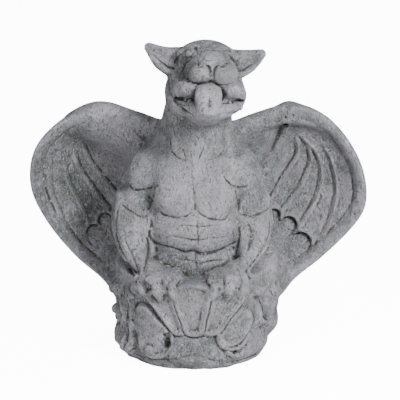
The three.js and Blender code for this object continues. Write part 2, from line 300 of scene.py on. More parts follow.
fanParts = {
    # the side of the rock: shares of its height, and how far it draws in from its radius
    "profile": [(0, 4), (0.06, 1.5), (0.18, 2), (0.34, 5), (0.5, 4), (0.7, 2), (0.88, 1), (1, 2)],
    "relief": 6.0,  # how far a lobe stands out
    "dish": [1.5, 3.0, 4.0, 4.0, 5.0],  # how deep the middle of each is hollowed
    "rim": 2.5,
    # the outline of each lobe, from the outer ones to the middle one, which lies over its neighbours
    "lobes": [
        [(-69, 26), (-77, 40), (-80, 55), (-78, 76), (-72, 85), (-63, 83), (-52, 70), (-40, 58), (-33, 46),
         (-34, 34), (-44, 22), (-57, 17)],
        [(34, 48), (47, 68), (59, 79), (69, 80), (77, 70), (77, 55), (69, 41), (56, 33), (41, 34)],
        [(-26, 51), (-34, 59), (-44, 72), (-54, 86), (-63, 98), (-60, 108), (-46, 113), (-32, 114),
         (-27, 106), (-24, 89), (-17, 69), (-12, 54)],
        [(11, 53), (17, 74), (21, 95), (23, 108), (34, 115), (50, 114), (62, 107), (66, 97), (60, 87),
         (47, 71), (33, 52)],
        [(-11, 52), (-18, 71), (-24, 88), (-27, 105), (-24, 117), (-16, 123), (-3, 125), (10, 123),
         (19, 118), (21, 108), (19, 91), (15, 73), (10, 52)],
    ],
    # rolls where the outer lobes curl under: lines, with the height and half width of the roll
    "rolls": [
        ([(-33, 50), (-31, 36), (-41, 22), (-56, 16), (-69, 23), (-75, 36)], 5.0, 4.2),
        ([(33, 50), (37, 36), (49, 28), (63, 29), (75, 40)], 4.5, 4.0),
        ([(45, 24), (58, 17), (72, 20), (79, 30)], 4.5, 4.0),
    ],
    # round knobs and hollows: place, radius, and height or depth
    "knobs": [(-60, 25, 8, 6)],
    "hollows": [(-38, 47, 6, 5), (-38, 38, 7, 6), (54, 22, 3.5, 5), (71, 26, 3.5, 5)],
    "boss": {"place": (-6, 31), "radii": (30, 23), "height": 5.5},  # the plain swell under the middle lobe
    "facet": (1.07, 96.0),  # the flat beside the fan above the foot: its direction, and its distance
}


def rockProfile(up):
    h = size["baseHeight"]
    r = size["baseRadius"]
    shape = [[-20, r - 7]]
    shape += [[share * h, r - inset] for share, inset in fanParts["profile"]]
    shape += [[h + 6, r - 6]]
    fine = smoothLine(shape, 120)
    return np.interp(up, fine[:, 0], fine[:, 1])


def lobeRelief(gap, dish):
    # a raised rim round a dished middle
    p = fanParts
    body = 0.45 * p["relief"] * blendStep(-gap, -3.5, -2.0) + 0.55 * p["relief"] * blendStep(-gap, -2.0, 1.2)
    return body - dish * blendStep(-gap, p["rim"] - 1.0, p["rim"] + 7.0)


def rockRelief(across, up):
    p = fanParts
    relief = 1.6 * ripple(across, up, 3, 70) + 0.5 * ripple(across, up, 4, 20)
    front = np.abs(across) < 1.5 * size["baseRadius"]
    px = np.where(front, np.sin(across / size["baseRadius"]) * size["baseRadius"], 1e4)
    (bossX, bossZ), (wide, tall) = p["boss"]["place"], p["boss"]["radii"]
    boss = np.hypot((px - bossX) / wide, (up - bossZ) / tall)
    relief = relief + p["boss"]["height"] * blendStep(1.3 - boss, 0, 0.7)
    for outline, dish in zip(p["lobes"], p["dish"]):
        gap = outlineGap(px, up, smoothLine(outline, 60, closed=True))
        here = blendStep(-gap, -3.5, -1.0)
        relief = relief * (1 - here) + lobeRelief(gap, dish) * here
    for line, height, halfWidth in p["rolls"]:
        gap = lineGap(px, up, smoothLine(line, 24))[0]
        relief = np.maximum(relief, height * (1.25 - (gap / halfWidth) ** 2))
    for x, z, radius, height in p["knobs"]:
        gap = np.hypot(px - x, up - z) / radius
        relief = np.maximum(relief, (height + 3) * np.sqrt(np.clip(1 - gap**2, 0, 1)))
    for x, z, radius, depth in p["hollows"]:
        gap = np.hypot(px - x, up - z) / radius
        relief = relief - depth * blendStep(1.2 - gap, 0, 0.7)
    return relief


leafParts = {
    # how high the folds begin, how far round, and how deep the folds, the fine folds and the crumples are
    "foot": {-1: 2, 1: 42},
    "start": {-1: 88, 1: 96},
    "end": (215, 245),  # they fade out towards the rear
    "top": (90, 112),  # and towards the ledge
    "foldWidth": 18.0,
    "fineWidth": 8.0,
    "fold": {-1: 6.5, 1: 4.0},
    "fine": {-1: 2.4, 1: 0.0},
    "crumple": {-1: 5.0, 1: 15.0},
    "curl": {"place": (150, 42), "radii": (30, 26), "height": 9.0},  # big and smooth, low on the beast's left
    # toes at the top of the leaves on one side and swollen folds on the other: place, radii and blend
    "swells": [
        ((-75, 7, 66), (9, 9, 8), 5),
        ((-84, 8, 90), (9, 9, 8), 5),
        ((57, 1, 100), (9, 7, 7), 4),
        ((66, 3, 92), (8, 8, 8), 3),
        ((82, 1, 74), (13, 18, 14), 8),
        ((82, 0, 46), (14, 18, 17), 10),
    ],
}


def leafRelief(across, up):
    # the leaves on both sides of the rock: upright wavy folds with sharp valleys and curled tips
    p = leafParts
    total = 0.0
    for side in sides:
        near = side * across
        foot, start = p["foot"][side], p["start"][side]
        reach = blendStep(near, start, start + 14) * (1 - blendStep(near, *p["end"]))
        tall = blendStep(up, foot, foot + 14) * (1 - blendStep(up, *p["top"]))
        sway = 7 * np.sin(up / 19.0 + side) + 3 * np.sin(up / 9.0 + near / 19)
        sway = sway + 12 * ripple(across, up, 21, 60)
        fold = np.abs(np.sin((near + sway) * math.pi / p["foldWidth"])) ** 0.5
        fine = np.abs(np.sin((near + 1.3 * sway) * math.pi / p["fineWidth"])) ** 0.7
        crumple = np.abs(ripple(across, up, 31, 34)) ** 0.6
        strength = 0.8 + 0.7 * ripple(across, up, 23, 45)
        folds = p["fold"][side] * fold * strength + p["fine"][side] * fine + p["crumple"][side] * crumple
        total = total + reach * tall * (folds + 1.0)
    (curlX, curlZ), (wide, high) = p["curl"]["place"], p["curl"]["radii"]
    gap = np.hypot((across - curlX) / wide, (up - curlZ) / high)
    return total + p["curl"]["height"] * blendStep(1 - gap, 0, 0.8)


def buildLeaves(clay):
    for place, radii, blend in leafParts["swells"]:
        clay.add(ball(rockFrame, onRock(*place), radii), blend)


def rockShape(clay):
    reach = size["baseRadius"] + 22
    x0 = size["rockX"]
    low = np.array([x0 - reach, -reach, -10.0])
    high = np.array([x0 + reach, reach, size["baseHeight"] + 4])
    zs = clay.axes[2]
    upper = int(np.searchsorted(zs, high[2] + 12))
    turns = 720
    angles = np.linspace(-math.pi, math.pi, turns + 1)
    across = angles[:, None] * size["baseRadius"]
    up = zs[None, :upper].astype(float)
    surface = rockProfile(up) + rockRelief(across, up) + leafRelief(across, up)
    direction, flat = fanParts["facet"]
    slope = np.cos(np.clip(angles[:, None] - direction, -0.6, 0.6))
    beneath = blendStep(-up, -48, -40)
    surface = surface * (1 - beneath) + np.minimum(surface, flat / slope) * beneath
    # the foot is worn away unevenly
    foot = blendStep(-up, -16, -2)
    surface = surface - foot * (3.0 + 5.0 * ripple(across, 0 * up, 12, 75) + 2.0 * ripple(across, up, 13, 25))
    # the back is plain rough rock
    rear = blendStep(np.abs(across), 200, 250)
    surface = surface * (1 - rear) + (rockProfile(up) + 1.5 * ripple(across, up, 9, 45)) * rear
    surface = surface.astype(np.float32)

    def distance(x, y, z):
        dx = x[:, :, 0] - np.float32(x0)
        dy = y[:, :, 0]
        rho = np.sqrt(dx * dx + dy * dy)
        place = (np.arctan2(dx, -dy) + math.pi) / (2 * math.pi) * turns
        first = np.clip(place.astype(int), 0, turns - 1)
        share = (place - first)[:, :, None].astype(np.float32)
        start = int(round((float(z[0, 0, 0]) - float(zs[0])) / clay.grain))
        rows = surface[:, start:start + z.shape[2]]
        radius = rows[first] * (1 - share) + rows[first + 1] * share
        side = (rho[:, :, None] - radius) * np.float32(0.85)
        lid = z - np.float32(size["baseHeight"] - 1)
        return -softMin(-side, -np.broadcast_to(lid, side.shape), 5.0)

    return low, high, distance


# The wings. Places on a wing are shares of the half span and of the wing's height

wingParts = {
    "outline": [
        (0.2, 0.91), (0.39, 0.965), (0.555, 1.0), (0.7, 0.965), (0.845, 0.875), (0.955, 0.75),
        (1.0, 0.615), (0.985, 0.47), (0.885, 0.31), (0.735, 0.165), (0.58, 0.065), (0.49, 0.0),
        (0.39, 0.0), (0.29, 0.03), (0.21, 0.25), (0.17, 0.6), (0.16, 0.8),
    ],
    "droop": 0.14,
    "wrist": (0.57, 0.93),
    "rimWidth": 17.0,
    "rimRoll": {1: 4.0, -1: 1.5},
    "ribHeight": {1: 2.6, -1: 2.8},
    # the flesh of the wing arm ends at this valley; it falls to it from the shoulder over the given width
    "valley": {
        1: [(0.53, 1.03), (0.505, 0.93), (0.474, 0.81), (0.43, 0.712), (0.4, 0.633), (0.36, 0.56),
            (0.3, 0.45), (0.27, 0.3), (0.26, -0.1)],
        -1: [(0.9, 0.95), (0.78, 0.83), (0.67, 0.765), (0.61, 0.7), (0.526, 0.641), (0.452, 0.585),
             (0.36, 0.5), (0.29, 0.3), (0.27, -0.1)],
    },
    "fleshWidth": {1: 46.0, -1: 66.0},
    "fleshFront": 20.0,
    "ribs": {
        1: [
            [(0.585, 0.83), (0.595, 0.7), (0.553, 0.62), (0.488, 0.526), (0.425, 0.43)],
            [(0.6, 0.84), (0.662, 0.72), (0.668, 0.64), (0.62, 0.52), (0.565, 0.45), (0.5, 0.385)],
            [(0.55, 0.86), (0.64, 0.775), (0.705, 0.705), (0.735, 0.61), (0.728, 0.52), (0.69, 0.42),
             (0.605, 0.3)],
            [(0.7, 0.8), (0.785, 0.69), (0.825, 0.53), (0.81, 0.42), (0.765, 0.3), (0.69, 0.19)],
        ],
        -1: [
            [(0.7, 0.8), (0.655, 0.66), (0.565, 0.55), (0.475, 0.455)],
            [(0.75, 0.76), (0.72, 0.63), (0.64, 0.51), (0.545, 0.4)],
            [(0.8, 0.72), (0.785, 0.57), (0.725, 0.45), (0.655, 0.33)],
            [(0.875, 0.72), (0.885, 0.54), (0.84, 0.41), (0.79, 0.31), (0.71, 0.21)],
        ],
    },
    # the deep panel under the membrane: a fan with three scallops along its upper edge, each with a radius
    "panel": {
        1: [(0.343, 0.074), (0.302, 0.133), (0.383, 0.23), (0.42, 0.34), (0.455, 0.37), (0.535, 0.31),
            (0.61, 0.225), (0.634, 0.174), (0.577, 0.149), (0.496, 0.111), (0.407, 0.066)],
        -1: [(0.376, 0.083), (0.441, 0.182), (0.498, 0.264), (0.514, 0.334), (0.555, 0.335), (0.625, 0.28),
             (0.64, 0.25), (0.587, 0.206), (0.522, 0.147), (0.425, 0.071)],
    },
    "scallops": {
        1: [((0.45, 0.365), 9), ((0.538, 0.312), 12), ((0.61, 0.226), 15)],
        -1: [((0.553, 0.335), 11), ((0.623, 0.28), 11), ((0.625, 0.25), 9)],
    },
    "panelFoot": {1: (0.36, 0.07), -1: (0.39, 0.07)},
    "panelDepth": {1: 6.5, -1: 3.0},
    "root": 20.0,  # how near the middle of the figure the skin begins
    "depthRange": (-5.0, 100.0),
    "edgeRound": 13.0,
    "bowlMiddle": (0.585, 0.535),
    "bowlReach": (0.42, 0.485),
    "armPlaces": [(0.2, 0.87), (0.37, 0.92), (0.57, 0.93), (0.75, 0.9)],
    "armWidths": [0.6, 0.5, 0.55, 0.25],  # as shares of the wing's thickness
    "armDrop": {1: -4, -1: 4},
}


def wingPlace(x, z):
    return np.array([x * size["halfSpan"], size["wingFoot"] + z * size["wingHeight"]])


def wingMiddle(px, pz):
    # how far back the middle of the wing's thickness lies: the wing is a bowl that is open to the front
    bx, bz = wingPlace(*wingParts["bowlMiddle"])
    wide, tall = wingParts["bowlReach"]
    across = (px - bx) / (wide * size["halfSpan"])
    up = (pz - bz) / (tall * size["wingHeight"])
    return size["bowlDepth"] - size["wingBow"] * (across**2 + up**2)


def wingOutline(side):
    p = wingParts
    points = []
    wristX = wingPlace(*p["wrist"])[0]
    for x, z in p["outline"]:
        px, pz = wingPlace(x, z)
        lean = -side * p["droop"] * max(0.0, px - wristX) * math.sin(math.pi * z**1.6)
        points.append([px, pz + lean])
    return smoothLine(points, 136, closed=True)


def wingShape(clay, side):
    p = wingParts
    outline = wingOutline(side)
    reach = outline[:, 0].max()
    lowX, highX = (p["root"], reach) if side > 0 else (-reach, -p["root"])
    low = np.array([lowX, p["depthRange"][0], outline[:, 1].min()])
    high = np.array([highX, p["depthRange"][1], outline[:, 1].max()])

    def distance(x, y, z):
        px = (side * x[:, 0, 0]).astype(float)[:, None]
        pz = z[0, 0, :].astype(float)[None, :]
        edge = outlineGap(px, pz, outline)
        middle = wingMiddle(px, pz)
        slope = np.sqrt(1 + sum(g**2 for g in np.gradient(middle, clay.grain)))
        half = np.full(edge.shape, size["wingThickness"] / 2)
        relief = 0.5 * ripple(px, pz, 11 + side, 28)
        # ribs: a fine ridge on a broad swell, with a sharp groove on the side towards the body
        for line in p["ribs"][side]:
            curve = smoothLine([wingPlace(*q) for q in line], 24)
            gap, share, hand = lineGap(px, pz, curve)
            strength = blendStep(share, 0.0, 0.25) * (1 - 0.3 * share)
            relief = relief + strength * p["ribHeight"][side] * np.exp(-((gap / 2.3) ** 2))
            relief = relief + strength * 0.8 * p["ribHeight"][side] * np.exp(-((gap / 11.0) ** 2))
            relief = relief - strength * 2.0 * np.exp(-(((gap * hand - 5.0) / 2.2) ** 2))
        # the deep panel, with a scalloped edge above; it rises to the rim below
        panel = outlineGap(px, pz, np.array([wingPlace(*q) for q in p["panel"][side]]))
        foot = wingPlace(*p["panelFoot"][side])
        flutes = 0.0
        for centre, radius in p["scallops"][side]:
            at = wingPlace(*centre)
            panel = np.minimum(panel, np.hypot(px - at[0], pz - at[1]) - radius)
            gap, share = lineGap(px, pz, np.array([foot, at]))[:2]
            flutes = flutes + 1.2 * np.exp(-((gap / 7.0) ** 2)) * blendStep(share, 0.1, 0.6)
        inside = blendStep(-panel, -0.8, 1.8)
        bottom = [wingPlace(*q) for q in p["panel"][side][-4:]]
        rise = lineGap(px, pz, np.array(bottom))[0]
        fromFoot = np.hypot(px - foot[0], pz - foot[1])
        sink = p["panelDepth"][side] * blendStep(fromFoot, 0, 80) * blendStep(rise, -8, 20)
        relief = relief * (1 - inside) + inside * (flutes - sink)
        relief = relief + 1.8 * np.exp(-(((panel - 2.5) / 3.0) ** 2)) * blendStep(rise, 8, 30)
        # the rolled rim
        within = -edge
        roll = blendStep(within, -2, 4) * (1 - blendStep(within, p["rimWidth"] - 5, p["rimWidth"] + 3))
        outer = blendStep(px, 60, 110)
        relief = relief * (1 - 0.8 * roll * outer) + p["rimRoll"][side] * roll * outer
        groove = np.exp(-(((within - p["rimWidth"] - 2) / 2.2) ** 2))
        relief = relief - 2.0 * outer * groove * blendStep(px, 120, 150)
        front = middle - half - relief
        # the flesh of the wing arm, and the valley with the ridge that bounds it
        valley = smoothLine([wingPlace(*q) for q in p["valley"][side]], 30)
        gap, share, hand = lineGap(px, pz, valley)
        flesh = blendStep(gap * hand, 0, p["fleshWidth"][side])
        front = front * (1 - flesh) + (p["fleshFront"] - ripple(px, pz, 5 + side, 40)) * flesh
        if side > 0:
            upper = 1 - blendStep(share, 0.1, 0.55)
            ridge = 6.0 * np.exp(-((gap / 5.0) ** 2))
            groove = 4.0 * np.exp(-(((gap * hand + 8) / 5.0) ** 2))
            front = front + upper * (ridge - groove)
        front = front[:, None, :].astype(np.float32)
        rear = (middle + half)[:, None, :].astype(np.float32)
        slim = (1 / slope)[:, None, :].astype(np.float32)
        through = np.maximum(front - y, y - rear) * slim
        across = np.broadcast_to(edge[:, None, :].astype(np.float32), through.shape)
        return -softMin(-through, -across, p["edgeRound"])

    return low, high, distance


def buildWing(clay, side):
    s = side
    f = frameAt()
    clay.add(wingShape(clay, side), 8)
    # the arm of the wing, from the shoulder over the elbow and the wrist to the first finger
    shoulder, elbow, wrist, outer = [wingPlace(*q) for q in wingParts["armPlaces"]]
    arm = [
        (s * shoulder[0], 24, shoulder[1] - 2),
        (s * elbow[0], wingMiddle(*elbow) - 1, elbow[1] - 3),
        (s * wrist[0], wingMiddle(*wrist) - 3, wrist[1] - 1),
        (s * outer[0], wingMiddle(*outer) + 1, outer[1] + wingParts["armDrop"][s] - 3),
    ]
    clay.add(limb(f, arm, [size["wingThickness"] * w for w in wingParts["armWidths"]]), 10)
    # the slope of skin that comes down to the rock behind the foreleg
    clay.add(ball(f, (s * 84, 18, 106), (22, 36, 44), (0, s * 14, 0)), 26)
    if s > 0:
        # a knob at the wrist with pits in it
        clay.add(ball(f, (123, 40, 324), (12, 13, 13), (0, -15, 0)), 12)
        clay.carve(ball(f, (119, 40, 305), (4, 14, 5)), 4)
        clay.carve(ball(f, (118, 26, 320), (1.8, 2.0, 3)), 2)
        clay.carve(ball(f, (128, 26, 324), (1.6, 1.8, 2.4)), 2)
    else:
        clay.add(ball(f, (-134, 52, 306), (30, 16, 22)), 24)


# The trunk, arms and paws, over the ledge of the rock

# the trunk's sections: height, middle, half width, and reach to the front and to the back
trunkLevels = [
    [-60, 0, 40, 30, 30],
    [-12, 0, 54, 54, 46],
    [0, 0, 62, 63, 48],
    [12, 0, 67, 67, 50],
    [26, 0, 68, 65, 50],
    [40, 0, 65, 60, 50],
    [62, 0, 60, 52, 50],
    [92, 0, 61, 49, 52],
    [120, 0, 60, 47, 50],
    [145, 0, 56, 41, 46],
    [165, 1, 49, 37, 42],
    [190, 2, 45, 38, 42],
    [222, 5, 45, 40, 42],
    [252, 8, 40, 34, 36],
    [275, 10, 18, 10, 16],
]

# the barrel of the ribs and belly, which ends in a fold over the lower belly
barrelLevels = [
    [20, -1, 52, 55, 42],
    [28, -1, 63, 62, 49],
    [37, -1, 68, 66.5, 51],
    [50, -1, 70, 68, 52],
    [66, -1, 69, 66, 52],
    [82, 0, 66, 62, 52],
    [100, 0, 61, 58, 50],
    [118, 0, 57, 50, 48],
]


def buildTrunk(clay):
    f = figureFrame
    clay.add(loft(f, trunkLevels), 8)
    clay.add(loft(f, barrelLevels), 3)
    for s in sides:
        # slope from the neck to the shoulder, shoulder blade and flank
        clay.add(limb(f, [(s * 14, 6, 196), (s * 40, 4, 160), (s * 60, 0, 140)], [24, 20, 18]), 20)
        clay.add(ball(f, (s * 34, 40, 122), (30, 16, 42), (0, s * 14, 0)), 14)
        # broad, flat chest muscles
        clay.add(ball(f, (s * 24, -26, 122), (37, 34, 43), (0, s * 10, s * 8)), 12)
        clay.add(ball(f, (s * 26, -38, 106), (33, 22, 29), (0, s * 6, s * 10)), 7)
        clay.add(limb(f, [(s * 25, -28, 164), (s * 28, -29, 190), (s * 32, -24, 222)], [5, 6, 7]), 10)
    clay.add(ball(f, (0, -28, 120), (18, 30, 36)), 8)
    clay.add(limb(f, [(0, -26, 210), (0, -30, 175), (0, -40, 140)], [14, 16, 16]), 16)
    clay.carve(ball(f, (0, -64, 86), (4, 4, 5)), 5)
    clay.carve(ball(f, (0, -70, 34), (7, 6, 6)), 5)


# the foreleg on the beast's right is turned broadside to the front, and the other one is seen end on
armParts = {
    -1: {
        "shoulder": 65,
        "upper": 78,
        "fore": 90,
        "girth": 22.0,
        "wrist": 53,
        "innerFace": [(-81, -12, 84), (-80, -30, 56), (-78, -48, 26)],
        "innerWidths": [18, 17, 10],
        "strand": [(-67, -28, 78), (-66, -42, 58), (-68, -50, 40)],
    },
    1: {
        "shoulder": 61,
        "upper": 72,
        "fore": 85,
        "girth": 18.0,
        "wrist": 46,
        "innerFace": [(73, -12, 84), (73, -30, 56), (69, -50, 30)],
        "innerWidths": [15, 14, 10],
        "strand": [(63, -26, 74), (62, -36, 62), (62, -44, 48)],
    },
}


def buildArm(clay, side):
    f = figureFrame
    s = side
    p = armParts[side]
    toFigure = np.linalg.inv(figureFrame) @ rockFrame
    wrist = inWorld(toFigure, onRock(s * p["wrist"], -15, size["baseHeight"] + 6))
    # the deltoid
    x = p["shoulder"]
    clay.add(ball(f, (s * x, -6, 127), (27, 28, 29), (0, s * 20, 0)), 14)
    clay.add(ball(f, (s * (x + 3), -16, 122), (23, 20, 23), (0, s * 22, 0)), 8)
    # the upper arm
    x = p["upper"]
    upper = [(s * (x - 4), -2, 118), (s * (x + 1), 2, 102), (s * (x + 6), 2, 84)]
    clay.add(limb(f, upper, [17, 17, 17], pieces=12), 5)
    clay.add(ball(f, (s * (x - 1), -13, 94), (20.5, 21, 23), (0, s * 10, 0)), 6)
    # the forearm
    x = p["fore"]
    g = p["girth"]
    fore = [(s * x, -4, 86), (s * (x - 1), -20, 56), (s * (x - 7), -44, 28), tuple(wrist)]
    clay.add(limb(f, fore, [g, g + 0.5, g * 0.72, 9], pieces=18), 4)
    # the sharp ridge along its outer side, from the elbow down
    edge = x + g
    ridge = [(s * (edge - 9), -2, 94), (s * (edge - 2), -14, 62), (s * (edge - 10), -38, 32),
             (s * (edge - 20), -50, 14)]
    clay.add(limb(f, ridge, [3.5, 4.5, 4, 2], pieces=18), 4)
    # its broad inner face, which meets the flank
    clay.add(limb(f, p["innerFace"], p["innerWidths"]), 5)
    clay.add(limb(f, p["strand"], [3.5, 3.5, 2], pieces=12), 4)
    # the arm is joined to the flank by a web that leaves only a crease
    clay.add(limb(f, [(s * 60, -26, 88), (s * 60, -30, 56), (s * 62, -38, 24)], [7, 9, 9]), 6)
    clay.carve(limb(f, [(s * 57, -50, 114), (s * 58, -46, 98), (s * 61, -40, 84)], [1.0, 2.4, 1.4]), 4)


pawParts = {
    "fingers": {-1: [-17, -29, -43], 1: [15, 27, 40]},  # the direction of each, in degrees round the rock
    "radius": 6.8,
    "wrinkles": 34,
}


def buildPaw(clay, side):
    h = size["baseHeight"]
    p = pawParts
    r = p["radius"]
    s = side
    clay.add(ball(rockFrame, onRock(s * 30, -18, h), (30, 22, 12), (0, 0, s * 30)), 7)
    clay.add(ball(rockFrame, onRock(s * 46, -20, h + 5), (16, 16, 13), (0, 0, s * 40)), 8)
    for i, degrees in enumerate(p["fingers"][side]):
        thick = r * (0.85, 1.15, 1.05)[i]
        finger = [
            onRock(degrees + s * 3, -18, h + 4),
            onRock(degrees + s, -6, h + 2),
            onRock(degrees, 2, h - 5),
            onRock(degrees - s, 4, h - 14),
            onRock(degrees - s * 2, 0, h - 25),
        ]
        widths = [thick * 0.9, thick, thick, thick * 1.05, thick * 0.5]
        clay.add(limb(rockFrame, finger, widths, pieces=14), 3)
    for first, second in zip(p["fingers"][side][:-1], p["fingers"][side][1:]):
        clay.add(ball(rockFrame, onRock((first + second) / 2, -3, h - 5), (8, 8, 11)), 4)
    # the messy knuckles and wrinkles on the back of the paw
    rng = np.random.default_rng(40 + side)
    for _ in range(p["wrinkles"]):
        degrees = s * rng.uniform(14, 47)
        out = rng.uniform(-30, 2)
        up = h + 4 + 0.16 * (-out) + rng.uniform(-2, 1)
        start = onRock(degrees, out, up)
        stop = onRock(degrees + rng.uniform(-4, 4), out + rng.uniform(3, 8), up - rng.uniform(1, 5))
        widths = [rng.uniform(3.4, 5.2), rng.uniform(2.6, 4.0)]
        clay.add(limb(rockFrame, [start, stop], widths, pieces=3), 2.0)


# Lines drawn on the finished clay, as seen from the front and a little above. Each is a list of places, with
# x across and the height seen, and a list of the groove's radii along it

bodyLines = [
    # the lower edges of the chest and the line between its halves
    ([(-54, 201), (-49, 192), (-38, 188), (-25, 187), (-14, 190), (-6, 197)], [0.8, 1.8, 2.0, 2.0, 1.8, 1.2]),
    ([(-3, 204), (1, 194), (11, 187), (23, 184), (35, 184), (42, 192)], [0.8, 1.8, 2.0, 2.0, 1.8, 0.8]),
    ([(-9, 252), (-7, 231), (-5, 212), (-4, 198)], [0.4, 0.9, 1.4, 1.8]),
    # the belly
    ([(-30, 175), (-17, 176), (-3, 174), (13, 175), (27, 177)], [0.4, 1.2, 1.4, 1.2, 0.4]),
    ([(-46, 158), (-31, 160), (-4, 155), (19, 158), (38, 160)], [0.5, 1.4, 1.7, 1.4, 0.5]),
    ([(-2, 182), (-1, 167), (0, 148)], [0.8, 1.3, 0.8]),
    ([(-67, 167), (-63, 155), (-52, 148), (-36, 144), (-19, 138), (-7, 139), (5, 135), (21, 138), (38, 145),
      (51, 153)],
     [1.0, 2.0, 2.0, 2.0, 2.4, 2.4, 2.4, 2.0, 1.6, 1.0]),
    ([(-38, 126), (-25, 128), (-11, 126), (2, 122), (19, 126), (32, 127)], [0.4, 1.2, 1.5, 1.5, 1.2, 0.4]),
    ([(-4, 134), (-2, 119)], [1.6, 0.8]),
    # the deltoids, the armpits and the upper arms
    ([(-97, 243), (-91, 229), (-79, 225), (-65, 228), (-55, 232)], [0.6, 1.6, 2.0, 2.0, 1.6]),
    ([(-59, 228), (-62, 215), (-67, 199)], [1.8, 2.6, 2.0]),
    ([(-103, 205), (-93, 197), (-79, 189), (-69, 189)], [0.8, 1.8, 2.2, 1.6]),
    ([(32, 260), (35, 245), (45, 233), (59, 229), (72, 233)], [0.4, 1.4, 1.8, 1.8, 0.8]),
    ([(51, 225), (54, 212), (55, 197)], [1.8, 2.4, 1.8]),
    ([(57, 192), (72, 189), (89, 195), (97, 201)], [1.6, 2.0, 1.8, 0.8]),
    # the forearms
    ([(-109, 198), (-112, 175), (-109, 151), (-98, 126), (-84, 97)], [1.0, 1.8, 2.2, 2.6, 2.4]),
    ([(-101, 172), (-97, 150), (-87, 127), (-80, 107)], [0.4, 1.5, 1.7, 0.8]),
    ([(-69, 185), (-69, 161), (-67, 138), (-74, 113), (-80, 97)], [1.0, 2.0, 2.0, 1.6, 0.8]),
    ([(68, 178), (72, 167), (70, 150), (64, 134)], [1.6, 3.4, 3.4, 1.0]),
    ([(97, 181), (97, 165), (91, 148), (78, 127), (65, 111)], [1.0, 2.0, 2.4, 2.4, 1.6]),
    ([(55, 184), (55, 161), (51, 136)], [1.0, 2.0, 1.0]),
    # the neck and collar
    ([(-38, 309), (-37, 285)], [0.4, 1.0, 0.4]),
    ([(36, 317), (35, 286)], [0.4, 1.0, 0.4]),
    ([(-36, 280), (-25, 270), (-8, 266)], [0.3, 0.9, 0.3]),
    ([(35, 282), (26, 272), (13, 268)], [0.3, 0.9, 0.3]),
    ([(-21, 283), (-17, 270)], [0.3, 0.8]),
    ([(-10, 286), (-10, 272)], [0.3, 0.7]),
    ([(7, 285), (2, 272)], [0.3, 0.7]),
]
rockLines = [
    # the hollow beside the rolled foot of the left lobe
    ([(-40, 23), (-41, 11), (-48, -1), (-57, -5)], [1.5, 4.0, 4.5, 2.0]),
    # the ledge round the foot
    ([(-99, -1), (-82, -9), (-60, -14), (-35, -14), (-18, -9), (-3, -7), (16, -14), (43, -18), (70, -12),
      (91, 0)],
     [0.8, 1.4, 1.6, 1.6, 1.4, 1.4, 1.6, 1.6, 1.4, 0.8]),
]
headLines = [
    # the nostrils and the two lines below the nose
    ([(0, 400), (0, 396), (3, 395), (6, 398)], [1.1, 1.8, 1.8, 0.8]),
    ([(10, 399), (14, 396), (16, 390), (17, 380)], [1.1, 2, 1.9, 1.6]),
    ([(27, 399), (23, 395), (21, 390), (20, 381)], [1.1, 2, 1.9, 1.6]),
    ([(28, 398), (33, 396), (36, 399), (38, 402)], [0.8, 1.8, 1.8, 1.1]),
    # the lower edges of the whisker pads
    ([(-8, 375), (2, 373), (12, 374), (17, 378)], [0.8, 1.6, 1.6, 1.1]),
    ([(20, 377), (26, 372), (35, 371), (46, 374), (53, 381), (54, 390)], [1.1, 1.6, 1.6, 1.6, 1.6, 0.8]),
    # the arch of the brow and the squinting eyes
    ([(-22, 390), (-17, 402), (-6, 412), (5, 419), (19, 421), (30, 420), (40, 414), (49, 405), (55, 395)],
     [1.1, 2, 2, 1.8, 1.8, 1.8, 2, 2, 1.1]),
    ([(-8, 427), (-3, 422), (1, 415)], [1.1, 1.8, 1.1]),
    ([(-15, 415), (-8, 419), (-2, 417)], [0.6, 1.6, 1.1]),
    ([(39, 427), (43, 421), (46, 414)], [1.1, 1.8, 1.1]),
    ([(54, 421), (49, 416)], [0.6, 1.6]),
    ([(2, 431), (12, 435), (24, 434), (32, 429)], [0.4, 1.2, 1.2, 0.4]),
    # the lips
    ([(-34, 360), (-27, 353), (-17, 351), (-7, 351)], [1.1, 2, 2.5, 1.8]),
    ([(-30, 350), (-21, 344), (-8, 344)], [0.8, 1.6, 1.1]),
    ([(32, 346), (43, 347), (55, 352)], [1.6, 2, 1.1]),
    # the edge of the jaw, the temple and the cheeks
    ([(-38, 388), (-40, 373), (-36, 358), (-28, 345), (-16, 335), (-6, 327)], [1.1, 1.9, 2.3, 2.5, 2.5, 1.6]),
    ([(-32, 404), (-25, 414), (-16, 423), (-6, 430)], [0.8, 1.8, 1.8, 0.8]),
    ([(-19, 374), (-25, 368), (-27, 361)], [0.6, 1.3, 0.8]),
    ([(54, 371), (59, 367), (61, 360)], [0.6, 1.3, 0.8]),
]
# the drawings, each with its blend and how far its lines stand off the skin; below zero they cut deeper
drawings = [(rockLines, 3.0, 0.3), (bodyLines, 2.5, -0.2), (headLines, 1.6, -0.6)]
lineStep = 3  # how far apart, in mm, a line is laid on the skin
sightSlope = math.tan(math.radians(size["sightAngle"]))


def onSkin(clay, x, seen):
    # the first place on the clay along the line of sight
    ys = clay.axes[1]
    zs = seen - sightSlope * ys
    i = int(round((x - float(clay.low[0])) / clay.grain))
    k = np.clip(np.round((zs - float(clay.low[2])) / clay.grain).astype(int), 0, clay.field.shape[2] - 1)
    values = clay.field[i, np.arange(len(ys)), k]
    hits = np.nonzero(values < 0)[0]
    if len(hits) == 0 or hits[0] == 0:
        return None
    j = hits[0]
    share = values[j - 1] / (values[j - 1] - values[j])
    y = ys[j - 1] + share * clay.grain
    return [x, y, seen - sightSlope * y]


